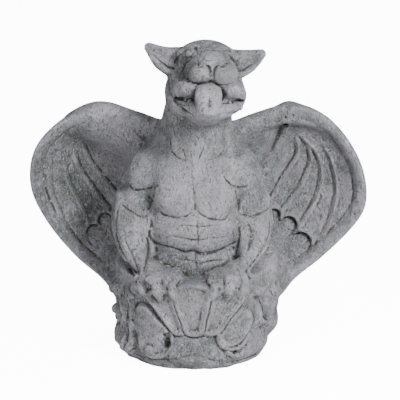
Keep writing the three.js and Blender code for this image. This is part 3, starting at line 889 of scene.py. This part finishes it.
def drawLines(clay, drawing, blend, lift):
    # carves the lines into the skin of the clay, with stray jumps in depth evened out
    for line, radii in drawing:
        length = sum(math.dist(a, b) for a, b in zip(line[:-1], line[1:]))
        count = max(4, int(length / lineStep))
        places = [onSkin(clay, float(x), float(seen)) for x, seen in smoothLine(line, count)]
        places = [p for p in places if p is not None]
        if len(places) < 3:
            continue
        depths = [p[1] for p in places]
        for i in range(1, len(places) - 1):
            places[i][1] = sorted(depths[i - 1:i + 2])[1] - lift
        clay.carve(limb(frameAt(), places, radii, pieces=len(places) * 2), blend)


# The head, in its own frame: x across, -y forward along the muzzle, z up

def buildHead(clay):
    f = headFrame
    clay.add(ball(f, (0, 8, 13), (45, 46, 44)), 6)
    clay.add(ball(f, (0, -14, 28), (40, 32, 25)), 8)
    clay.add(ball(f, (0, -40, 2), (32, 40, 26)), 8)
    clay.add(ball(f, (0, -48, 12), (27, 34, 18)), 8)
    clay.add(ball(f, (-2, -27, -49), (27, 35, 17)), 8)
    for s in sides:
        clay.add(ball(f, (s * 32, 2, -14), (22, 34, 30)), 10)
        clay.add(ball(f, (s * 35, -18, -24), (18, 27, 18)), 10)
        clay.add(ball(f, (s * 26, -36, -24), (23, 30, 14)), 10)
        wide = 41 if s < 0 else 34
        jaw = [(s * wide, -8, -34), (s * wide * 0.76, -34, -47), (s * 12, -52, -54)]
        clay.add(limb(f, jaw, [10, 10, 10]), 8)
        # brow over the eye, and the eye itself
        clay.add(limb(f, [(s * 9, -42, 34), (s * 22, -38, 35), (s * 36, -24, 30)], [4, 5.5, 5]), 8)
        clay.add(ball(f, (s * 23, -42, 26), (9, 7, 5)), 3)
    # the ears stand out sideways, thick and blunt, with the lower edge folded forward
    for s in sides:
        tip = 44 if s < 0 else 41
        ear = [(s * 34, 4, 24), (s * 56, 2, 30), (s * 76, 0, tip)]
        clay.add(limb(f, ear, [23, 16.5, 7], flat=0.62, face=(0, -1, -0.3)), 5)
        clay.carve(limb(f, [(s * 42, -15, 26), (s * 58, -11, 32), (s * 70, -7, 39)], [4.5, 5, 3]), 6)
        clay.carve(limb(f, [(s * 38, -10, 11), (s * 55, -8, 18), (s * 73, -6, 34)], [1.6, 2.0, 1.4]), 2)
        clay.add(limb(f, [(s * 38, -8, 5), (s * 56, -6, 13), (s * 74, -4, 30)], [4, 4, 3]), 3)
    # whisker pads, the arched bridge, the nose and the ridge below it
    for s in sides:
        big = 1.06 if s > 0 else 0.84
        middle = 17 if s > 0 else 14.5
        clay.add(ball(f, (s * middle, -64, -8), (18.5 * big, 20, 15.5 * big), (0, 0, s * 8)), 3)
    arch = [(-22, -58, 6), (-16, -63, 18), (0, -66, 23), (16, -63, 18), (22, -58, 6)]
    clay.add(limb(f, arch, [4, 5, 5.5, 5, 4], pieces=14), 5)
    clay.add(ball(f, (0, -73, 8), (17, 12, 11)), 6)
    clay.carve(limb(f, [(0, -87, -5), (0, -85, -13), (0, -80, -24)], [3, 3.5, 3.5]), 4)
    clay.add(limb(f, [(-12, -80, 4), (0, -82, 3), (12, -80, 4)], [2.2, 3, 2.2]), 2)
    clay.add(limb(f, [(0, -80, 3), (0, -78, -6), (0, -73, -15)], [3.0, 2.0, 1.6]), 2.5)
    for s in sides:
        # creases beside the muzzle and on the brow
        clay.carve(limb(f, [(s * 20, -58, 26), (s * 31, -50, 10), (s * 39, -42, -8)], [1.8, 3.0, 2.4]), 5)
        clay.carve(limb(f, [(s * 10, -52, 35), (s * 18, -52, 23), (s * 32, -42, 19)], [1.2, 1.8, 1.4]), 3)
    # the mouth: a slit on both sides of the tongue, under hanging lips
    slit = [(-43, -34, -33), (-32, -51, -38), (-16, -66, -40), (0, -70, -41), (16, -66, -40), (36, -48, -37),
            (50, -24, -30)]
    clay.carve(limb(f, slit, [3.0, 3.2, 4, 4, 4, 3.2, 3.0], flat=0.75, face=(0, 0, 1), pieces=20), 1.5)
    clay.carve(ball(f, (0, -60, -33), (22, 22, 10)), 3)
    lip = [(-44, -24, -40), (-31, -46, -47), (-15, -60, -53), (0, -64, -56)]
    lip += [(-x, y, z) for x, y, z in reversed(lip[:-1])]
    clay.add(limb(f, lip, [5, 5.5, 6, 6, 6, 5.5, 5], pieces=20), 2.5)
    for s in sides:
        # teeth in the corner of the mouth
        for i in (0, 1):
            clay.add(ball(f, (s * (27 + 7 * i), -52 + 8 * i, -41 + 1.5 * i), (2.6, 3, 2.2)), 2.5)
        # wrinkles in the hanging lip
        wrinkle = [(s * 30, -62, -18), (s * 42, -42, -22), (s * 50, -24, -20)]
        clay.carve(limb(f, wrinkle, [1.0, 1.6, 1.0]), 2.5)
    # the tongue rolls out over the lower lip
    tongue = [(-2, -40, -32), (-3, -62, -27), (-4.5, -74, -38), (-4.5, -73, -57)]
    clay.add(limb(f, tongue, [15, 16, 18.5, 16.5], flat=0.5, face=(0, -0.8, 1), pieces=18), 2)
    clay.carve(limb(f, [(-4, -86.5, -32), (-4, -89, -44), (-4, -88, -56)], [1.5, 1.8, 1.5]), 7)
    clay.carve(ball(f, (-4, -83.5, -31), (2, 3, 2)), 1.5)
    # the dark line under the jaw
    under = [(-50, 2, -36), (-40, -22, -56), (-22, -40, -68), (0, -46, -71)]
    under += [(-x, y, z) for x, y, z in reversed(under[:-1])]
    clay.carve(limb(f, [(x, y + 8, z - 4) for x, y, z in under], [3, 4, 4, 4, 4, 4, 3], pieces=20), 4)


def sculpt():
    reach = size["halfSpan"] + 6
    low = (-reach, -size["clayFront"], -3 * size["detail"])
    high = (reach, size["clayBack"], size["clayTop"])
    clay = Clay(low, high, size["detail"])
    clay.add(rockShape(clay), 4)
    buildLeaves(clay)
    for side in sides:
        buildWing(clay, side)
    buildTrunk(clay)
    for side in sides:
        buildArm(clay, side)
        buildPaw(clay, side)
    buildHead(clay)
    for drawing, blend, lift in drawings:
        drawLines(clay, drawing, blend, lift)
    clay.cutBelow(0.0)
    return clay


# Turning the clay into a mesh

def surfaceOf(clay):
    # one point in each cell that the surface passes through, and a face across each edge that it cuts
    field = clay.field
    inside = field < 0
    cells = tuple(n - 1 for n in field.shape)
    count = np.zeros(cells, np.uint8)
    corners = [(i, j, k) for i in (0, 1) for j in (0, 1) for k in (0, 1)]
    for i, j, k in corners:
        count += inside[i:i + cells[0], j:j + cells[1], k:k + cells[2]]
    active = (count > 0) & (count < 8)
    where = np.argwhere(active)
    index = np.full(cells, -1, np.int32)
    index[active] = np.arange(len(where), dtype=np.int32)
    total = np.zeros((len(where), 3))
    hits = np.zeros(len(where))
    steps = np.eye(3, dtype=int)
    for axis in range(3):
        others = [a for a in range(3) if a != axis]
        for first in (0, 1):
            for second in (0, 1):
                start = np.zeros(3, int)
                start[others[0]], start[others[1]] = first, second
                a = where + start
                b = a + steps[axis]
                fa = field[a[:, 0], a[:, 1], a[:, 2]]
                fb = field[b[:, 0], b[:, 1], b[:, 2]]
                cross = (fa < 0) != (fb < 0)
                t = fa[cross] / (fa[cross] - fb[cross])
                total[cross] += start + t[:, None] * steps[axis]
                hits[cross] += 1
    points = clay.low + clay.grain * (where + total / hits[:, None])
    quads = []
    for axis in range(3):
        second, third = (axis + 1) % 3, (axis + 2) % 3
        lower = [slice(None)] * 3
        upper = [slice(None)] * 3
        lower[axis], upper[axis] = slice(0, -1), slice(1, None)
        a, b = inside[tuple(lower)], inside[tuple(upper)]
        at = np.argwhere(a != b)
        outward = a[at[:, 0], at[:, 1], at[:, 2]]
        keep = (at[:, second] > 0) & (at[:, third] > 0)
        keep &= (at[:, second] < cells[second]) & (at[:, third] < cells[third])
        at, outward = at[keep], outward[keep]
        ring = []
        for ds, dt in ((-1, -1), (0, -1), (0, 0), (-1, 0)):
            cell = at.copy()
            cell[:, second] += ds
            cell[:, third] += dt
            ring.append(index[cell[:, 0], cell[:, 1], cell[:, 2]])
        ring = np.stack(ring, 1)
        ring[~outward] = ring[~outward][:, ::-1]
        quads.append(ring)
    return points, np.concatenate(quads)


def readField(grid, low, step, points):
    # the value of a grid at points between its own
    place = (points - low) / step
    top = np.array(grid.shape) - 2
    first = np.clip(np.floor(place).astype(int), 0, top)
    f = np.clip(place - first, 0, 1)
    value = 0.0
    for i, j, k in [(i, j, k) for i in (0, 1) for j in (0, 1) for k in (0, 1)]:
        share = np.abs(1 - i - f[:, 0]) * np.abs(1 - j - f[:, 1]) * np.abs(1 - k - f[:, 2])
        value = value + share * grid[first[:, 0] + i, first[:, 1] + j, first[:, 2] + k]
    return value


def boxBlur(grid, reach):
    # the mean of each point's neighbours, as far as reach grains away
    for axis in range(3):
        pad = [(0, 0)] * 3
        pad[axis] = (reach + 1, reach)
        total = np.cumsum(np.pad(grid, pad, mode="edge"), axis=axis, dtype=np.float32)
        ahead = [slice(None)] * 3
        behind = [slice(None)] * 3
        ahead[axis], behind[axis] = slice(2 * reach + 1, None), slice(0, -(2 * reach + 1))
        grid = (total[tuple(ahead)] - total[tuple(behind)]) / (2 * reach + 1)
    return grid


print("sculpting the gargoyle")
clay = sculpt()
points, quads = surfaceOf(clay)

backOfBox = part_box("gargoyle")[1][1] * perMetre
slide = np.array([size["slideX"], backOfBox - (size["baseRadius"] + size["rockBack"]), 0.0])


def meshFrom(name, places, faces):
    mesh = bpy.data.meshes.new(name)
    mesh.vertices.add(len(places))
    mesh.vertices.foreach_set("co", places.astype(np.float32).ravel())
    mesh.loops.add(faces.size)
    mesh.loops.foreach_set("vertex_index", faces.astype(np.int32).ravel())
    mesh.polygons.add(len(faces))
    mesh.polygons.foreach_set("loop_start", np.arange(0, faces.size, faces.shape[1], dtype=np.int32))
    mesh.update(calc_edges=True)
    return mesh


print("meshing the casting")
casting = bpy.data.objects.new("castGargoyle", meshFrom("castGargoyle", (points + slide) * millimetre, quads))
bpy.context.scene.collection.objects.link(casting)
thin = casting.modifiers.new("thin", "DECIMATE")
thin.ratio = min(1.0, size["triangles"] / (2.0 * len(quads)))
evaluated = casting.evaluated_get(bpy.context.evaluated_depsgraph_get())
finished = bpy.data.meshes.new_from_object(evaluated)
casting.modifiers.clear()
casting.data = finished
finished.shade_smooth()

# Painted shade and dirt gather where clay stands round a point: a close survey finds the creases, and a wide
# one the hollows
solid = np.clip(0.5 - clay.field / clay.grain, 0, 1)
places = np.empty(len(finished.vertices) * 3, np.float32)
finished.vertices.foreach_get("co", places)
places = places.reshape(-1, 3) * perMetre - slide
for name, reach in (("crease", size["creaseReach"]), ("hollow", size["hollowReach"])):
    grid = boxBlur(boxBlur(solid, reach), reach)
    layer = finished.attributes.new(name, "FLOAT", "POINT")
    layer.data.foreach_set("value", readField(grid, clay.low, clay.grain, places).astype(np.float32))
print("the casting has", len(finished.polygons), "faces")


# Materials

stoneLook = {
    "pale": (0.31, 0.30, 0.335),  # the worn, lilac-grey faces
    "shade": (0.105, 0.116, 0.12),
    "dampAndShade": (0.05, 0.066, 0.060),  # the green-grey film in the hollows, which also serves as painted shade there and over the beast's left side
    # near black: painted shade in the creases, and dirt in the pits and low strokes
    "dirtAndShade": (0.018, 0.022, 0.018),
    "rust": (0.26, 0.18, 0.15),  # pinkish-brown specks beside the creases
    "lime": (0.52, 0.50, 0.49),
    "roughness": (0.60, 0.90),
    # how strongly each effect shows
    "shares": {"filmAndShade": 0.62, "speck": 0.85, "chalk": 0.7, "worn": 0.35, "line": 0.84, "salt": 0.55,
               "paleStroke": 0.5, "darkStroke": 0.85, "mark": 0.7},
    # how much each effect adds to the bump
    "bump": {"grain": 0.7, "cloud": 1.6, "stroke": 4.0, "mark": 0.5},
    "bumpHeight": 0.0018,
    # where film lies thick with painted shade, as on the left wing and face, and where painted highlights
    # make the stone pale, as on the chest, rock front, muzzle and inner left wing: place, radius and strength
    "filmAndShadePatches": [
        ((0.095, 0.03, 0.30), 0.085, 0.62),
        ((-0.225, 0.05, 0.23), 0.15, 0.9),
        ((0.01, -0.05, 0.445), 0.075, 0.75),
        ((-0.05, -0.07, 0.37), 0.07, 0.45),
        ((-0.01, -0.10, 0.015), 0.09, 0.55),
        ((-0.07, -0.02, 0.255), 0.06, 0.5),
        ((0.075, -0.02, 0.255), 0.06, 0.6),
        ((-0.10, -0.05, 0.06), 0.05, 0.4),
        ((0.0, -0.07, 0.16), 0.07, 0.6),
        ((0.0, -0.03, 0.33), 0.07, 0.35),
    ],
    "paintedLightPatches": [
        ((0.0, -0.06, 0.225), 0.085, 0.75),
        ((-0.005, -0.1, 0.08), 0.05, 0.55),
        ((-0.062, -0.1, 0.068), 0.05, 0.9),
        ((-0.11, 0.05, 0.25), 0.075, 0.55),
        ((0.012, -0.10, 0.375), 0.05, 1.0),
        ((0.015, -0.085, 0.405), 0.045, 0.4),
    ],
}


def addNode(tree, kind, **values):
    # nodes are laid out in rows, in the order in which they are made
    node = tree.nodes.new(kind)
    row, column = divmod(len(tree.nodes) - 1, 10)
    node.location = (220 * column, -260 * row)
    for key, value in values.items():
        setattr(node, key, value)
    return node


def socketGroup(name, inputs, outputs):
    group = bpy.data.node_groups.new(name, "ShaderNodeTree")
    for label, kind, value in inputs:
        socket = group.interface.new_socket(name=label, in_out="INPUT", socket_type=kind)
        socket.default_value = value
    for label in outputs:
        group.interface.new_socket(name=label, in_out="OUTPUT", socket_type="NodeSocketFloat")
    return group, addNode(group, "NodeGroupInput"), addNode(group, "NodeGroupOutput")


def plug(tree, socket, value):
    # a number or a colour is set on the socket, and the output of another node is linked to it
    if isinstance(value, (int, float)):
        socket.default_value = value
    elif isinstance(value, tuple):
        socket.default_value = (*value, 1.0)
    else:
        tree.links.new(value, socket)


def calculate(tree, operation, a, b, clamp=False):
    node = addNode(tree, "ShaderNodeMath", operation=operation, use_clamp=clamp)
    plug(tree, node.inputs[0], a)
    plug(tree, node.inputs[1], b)
    return node.outputs[0]


def scaled(tree, value, share):
    return calculate(tree, "MULTIPLY", value, share)


def mixColour(tree, factor, a, b):
    node = addNode(tree, "ShaderNodeMix", data_type="RGBA")
    for socket, value in ((node.inputs[0], factor), (node.inputs[6], a), (node.inputs[7], b)):
        plug(tree, socket, value)
    return node.outputs[2]


def spread(tree, value, low, high):
    # the value's range low to high becomes 0 to 1
    node = addNode(tree, "ShaderNodeMapRange", interpolation_type="SMOOTHSTEP")
    tree.links.new(value, node.inputs["Value"])
    node.inputs["From Min"].default_value = low
    node.inputs["From Max"].default_value = high
    return node.outputs["Result"]


def noise(tree, vector, scale, detail, roughness, distortion=0.0):
    node = addNode(tree, "ShaderNodeTexNoise")
    tree.links.new(vector, node.inputs["Vector"])
    node.inputs["Scale"].default_value = scale
    node.inputs["Detail"].default_value = detail
    node.inputs["Roughness"].default_value = roughness
    node.inputs["Distortion"].default_value = distortion
    return node.outputs["Fac"]


def makeGrain():
    # cloudy stone with fine grains, small pits and short tooling strokes
    group, start, end = socketGroup(
        "stoneGrain", [("Place", "NodeSocketVector", (0, 0, 0))], ["Cloud", "Grain", "Pits", "Strokes"]
    )
    place = start.outputs["Place"]
    broad = scaled(group, noise(group, place, 22, 5, 0.6), 0.6)
    fine = scaled(group, noise(group, place, 95, 4, 0.6), 0.4)
    group.links.new(calculate(group, "ADD", broad, fine), end.inputs["Cloud"])
    group.links.new(noise(group, place, 620, 3, 0.65), end.inputs["Grain"])
    cells = addNode(group, "ShaderNodeTexVoronoi")
    group.links.new(place, cells.inputs["Vector"])
    cells.inputs["Scale"].default_value = 120
    holes = spread(group, cells.outputs["Distance"], 0.17, 0.07)
    sparse = spread(group, noise(group, place, 60, 2, 0.5), 0.52, 0.6)
    group.links.new(calculate(group, "MULTIPLY", holes, sparse, clamp=True), end.inputs["Pits"])
    # the strokes are stretched noise in two directions that cross, on places bent by a slow noise
    bend = addNode(group, "ShaderNodeTexNoise")
    group.links.new(place, bend.inputs["Vector"])
    bend.inputs["Scale"].default_value = 14
    bent = addNode(group, "ShaderNodeVectorMath", operation="MULTIPLY_ADD")
    group.links.new(bend.outputs["Color"], bent.inputs[0])
    bent.inputs[1].default_value = (0.06, 0.06, 0.06)
    group.links.new(place, bent.inputs[2])
    strokes = []
    for turn, width, length in ((0.6, 520, 150), (-0.7, 460, 130)):
        slim = addNode(group, "ShaderNodeMapping")
        group.links.new(bent.outputs[0], slim.inputs["Vector"])
        slim.inputs["Scale"].default_value = (width, width, length)
        slim.inputs["Rotation"].default_value = (0, turn, 0)
        strokes.append(noise(group, slim.outputs["Vector"], 1.0, 3, 0.65, 0.4))
    group.links.new(scaled(group, calculate(group, "ADD", *strokes), 0.5), end.inputs["Strokes"])
    return group


def makeDirtAndShade():
    # how much painted shade, dirt and film lie at a place, from the two surveys of the clay round it: painted
    # shade and dirt in the creases, film with painted shade in the hollows, and pale wear on the edges
    group, start, end = socketGroup(
        "gatheredDirtAndShade",
        [(name, "NodeSocketFloat", 0.5) for name in ("Crease", "Hollow", "Cloud")],
        ["Line", "FilmAndShade", "Worn"],
    )
    shift = scaled(group, calculate(group, "SUBTRACT", start.outputs["Cloud"], 0.5), 0.35)
    crease = calculate(group, "ADD", start.outputs["Crease"], shift)
    hollow = calculate(group, "ADD", start.outputs["Hollow"], shift)
    group.links.new(spread(group, crease, 0.522, 0.602), end.inputs["Line"])
    group.links.new(spread(group, hollow, 0.36, 0.70), end.inputs["FilmAndShade"])
    group.links.new(spread(group, crease, 0.49, 0.38), end.inputs["Worn"])
    return group


def makePatch():
    # a soft round patch about a place, broken up by the cloud
    group, start, end = socketGroup(
        "softPatch",
        [
            ("Place", "NodeSocketVector", (0, 0, 0)),
            ("Centre", "NodeSocketVector", (0, 0, 0)),
            ("Radius", "NodeSocketFloat", 0.05),
            ("Strength", "NodeSocketFloat", 0.5),
            ("Cloud", "NodeSocketFloat", 0.5),
        ],
        ["Mask"],
    )
    apart = addNode(group, "ShaderNodeVectorMath", operation="DISTANCE")
    group.links.new(start.outputs["Place"], apart.inputs[0])
    group.links.new(start.outputs["Centre"], apart.inputs[1])
    share = calculate(group, "DIVIDE", apart.outputs["Value"], start.outputs["Radius"])
    share = calculate(group, "ADD", share, calculate(group, "SUBTRACT", start.outputs["Cloud"], 0.5))
    inner = spread(group, share, 1.0, 0.3)
    group.links.new(calculate(group, "MULTIPLY", inner, start.outputs["Strength"]), end.inputs["Mask"])
    return group


print("mixing the stone")
grainGroup = makeGrain()
dirtAndShadeGroup = makeDirtAndShade()
patchGroup = makePatch()


def addPatches(tree, place, cloud, patches):
    total = None
    for centre, radius, strength in patches:
        patch = addNode(tree, "ShaderNodeGroup", node_tree=patchGroup)
        tree.links.new(place, patch.inputs["Place"])
        tree.links.new(cloud, patch.inputs["Cloud"])
        patch.inputs["Centre"].default_value = centre
        patch.inputs["Radius"].default_value = radius
        patch.inputs["Strength"].default_value = strength
        mask = patch.outputs["Mask"]
        total = mask if total is None else calculate(tree, "MAXIMUM", total, mask)
    return total


def makeStone():
    look = stoneLook
    share = look["shares"]
    height = look["bump"]
    material = bpy.data.materials.new("weatheredCastStone")
    material.use_nodes = True
    tree = material.node_tree
    shader = tree.nodes["Principled BSDF"]
    shader.inputs["IOR"].default_value = 1.45
    shader.inputs["Specular IOR Level"].default_value = 0.35
    place = addNode(tree, "ShaderNodeTexCoord").outputs["Object"]
    crease = addNode(tree, "ShaderNodeAttribute", attribute_name="crease").outputs["Fac"]
    hollow = addNode(tree, "ShaderNodeAttribute", attribute_name="hollow").outputs["Fac"]
    stone = addNode(tree, "ShaderNodeGroup", node_tree=grainGroup)
    tree.links.new(place, stone.inputs["Place"])
    cloud, grain, pits, stroke = [stone.outputs[name] for name in ("Cloud", "Grain", "Pits", "Strokes")]
    dirtAndShade = addNode(tree, "ShaderNodeGroup", node_tree=dirtAndShadeGroup)
    for value, name in ((crease, "Crease"), (hollow, "Hollow"), (cloud, "Cloud")):
        tree.links.new(value, dirtAndShade.inputs[name])
    # the film and painted shade gather in the hollows and in the patches where they lie thick
    filmAndShade = scaled(tree, dirtAndShade.outputs["FilmAndShade"], share["filmAndShade"])
    filmAndShade = calculate(tree, "ADD", filmAndShade, addPatches(tree, place, cloud, look["filmAndShadePatches"]), clamp=True)
    filmAndShade = calculate(tree, "MULTIPLY", filmAndShade, spread(tree, cloud, 0.8, 0.3))
    # painted highlights: patches where the stone is made pale as if lit
    paintedLight = addPatches(tree, place, cloud, look["paintedLightPatches"])
    # specks of rust and salt lie beside the creases, and chalk anywhere
    beside = spread(tree, crease, 0.50, 0.56)
    speck = calculate(tree, "MULTIPLY", spread(tree, noise(tree, place, 210, 3, 0.6), 0.54, 0.62), beside)
    salt = calculate(tree, "MULTIPLY", spread(tree, noise(tree, place, 150, 3, 0.6), 0.62, 0.68), beside)
    chalk = spread(tree, noise(tree, place, 330, 2, 0.6), 0.64, 0.70)
    # tooling strokes: the low ones hold dirt and the high ones are rubbed pale
    lowStroke = scaled(tree, spread(tree, stroke, 0.47, 0.38), share["darkStroke"])
    highStroke = spread(tree, stroke, 0.53, 0.62)
    marks = calculate(tree, "MAXIMUM", pits, lowStroke)
    # the layers of colour, each over the ones before it
    layers = [
        # the film, with painted shade in the hollows and on the beast's left side, then the painted
        # highlights
        (filmAndShade, "dampAndShade"),
        (paintedLight, "pale"),
        (spread(tree, grain, 0.52, 0.72), "pale"),
        (spread(tree, grain, 0.48, 0.26), "dampAndShade"),
        (scaled(tree, speck, share["speck"]), "rust"),
        (scaled(tree, chalk, share["chalk"]), "lime"),
        (scaled(tree, dirtAndShade.outputs["Worn"], share["worn"]), "pale"),
        # painted shade and dirt darken the creases
        (scaled(tree, dirtAndShade.outputs["Line"], share["line"]), "dirtAndShade"),
        (scaled(tree, salt, share["salt"]), "lime"),
        (scaled(tree, highStroke, share["paleStroke"]), "pale"),
        (scaled(tree, marks, share["mark"]), "dirtAndShade"),
    ]
    body = mixColour(tree, spread(tree, cloud, 0.36, 0.62), look["shade"], look["pale"])
    for mask, colour in layers:
        body = mixColour(tree, mask, body, look[colour])
    tree.links.new(body, shader.inputs["Base Color"])
    rough = addNode(tree, "ShaderNodeMapRange")
    tree.links.new(cloud, rough.inputs["Value"])
    rough.inputs["To Min"].default_value, rough.inputs["To Max"].default_value = look["roughness"]
    tree.links.new(rough.outputs["Result"], shader.inputs["Roughness"])
    relief = scaled(tree, grain, height["grain"])
    for value, name in ((cloud, "cloud"), (stroke, "stroke")):
        relief = calculate(tree, "ADD", relief, scaled(tree, value, height[name]))
    relief = calculate(tree, "SUBTRACT", relief, scaled(tree, marks, height["mark"]))
    bump = addNode(tree, "ShaderNodeBump")
    bump.inputs["Strength"].default_value = 1.0
    bump.inputs["Distance"].default_value = look["bumpHeight"]
    tree.links.new(relief, bump.inputs["Height"])
    tree.links.new(bump.outputs["Normal"], shader.inputs["Normal"])
    return material


finished.materials.append(makeStone())
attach(casting, "root")
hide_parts("gargoyle")


# The studio: a plain pale floor, soft lights and a long lens

studio = {
    "floorColour": (0.93, 0.93, 0.93),
    "floorGlow": (12.0, 12.0, 12.0),
    "floorReach": 9.0,
    "distance": 7.0,
    "frameWidth": 0.5428,  # how much of the width the picture takes in
    "aim": (0.0024, 0.0087, 0.2115),
    # each light: direction round and up in degrees, distance, size, power
    "lights": {
        "keyLight": (37, 38, 1.9, 0.45, 80),
        "fillLight": (-42, 18, 2.4, 1.6, 18),
        "topLight": (26, 80, 2.0, 0.7, 10),
    },
    "skyStrength": 0.38,
}


def towards(azimuth, elevation):
    a, e = math.radians(azimuth), math.radians(elevation)
    return Vector((math.sin(a) * math.cos(e), -math.cos(a) * math.cos(e), math.sin(e)))


def addToScene(piece, place, aim):
    # puts a lamp or a camera in its place and turns it to what it looks at
    piece.location = place
    piece.rotation_euler = (aim - piece.location).to_track_quat("-Z", "Y").to_euler()
    bpy.context.scene.collection.objects.link(piece)


def buildStudio():
    s = studio
    half = s["floorReach"]
    corners = np.array([(-half, -half, 0), (half, -half, 0), (half, half, 0), (-half, half, 0)])
    floor = bpy.data.objects.new("floor", meshFrom("floor", corners, np.array([[0, 1, 2, 3]])))
    bpy.context.scene.collection.objects.link(floor)
    paint = bpy.data.materials.new("paleFloor")
    paint.use_nodes = True
    shader = paint.node_tree.nodes["Principled BSDF"]
    shader.inputs["Base Color"].default_value = (*s["floorColour"], 1)
    shader.inputs["Roughness"].default_value = 0.9
    shader.inputs["Specular IOR Level"].default_value = 0.1
    # the floor looks bright to the camera, but lights the casting no more than a pale floor would
    shader.inputs["Emission Color"].default_value = (*s["floorGlow"], 1)
    rays = addNode(paint.node_tree, "ShaderNodeLightPath")
    paint.node_tree.links.new(rays.outputs["Is Camera Ray"], shader.inputs["Emission Strength"])
    floor.data.materials.append(paint)
    aim = Vector(s["aim"])
    for name, (azimuth, elevation, distance, width, power) in s["lights"].items():
        lamp = bpy.data.lights.new(name, "AREA")
        lamp.size = width
        lamp.energy = power
        addToScene(bpy.data.objects.new(name, lamp), aim + distance * towards(azimuth, elevation), aim)
    world = bpy.data.worlds.new("studio")
    world.use_nodes = True
    sky = world.node_tree.nodes["Background"]
    sky.inputs["Color"].default_value = (1, 1, 1, 1)
    sky.inputs["Strength"].default_value = s["skyStrength"]
    bpy.context.scene.world = world
    lens = bpy.data.cameras.new("camera")
    lens.sensor_width = 36
    lens.lens = 36 * s["distance"] / s["frameWidth"]
    camera = bpy.data.objects.new("camera", lens)
    addToScene(camera, aim + s["distance"] * towards(0, size["sightAngle"]), aim)
    bpy.context.scene.camera = camera


print("setting up the studio")
buildStudio()
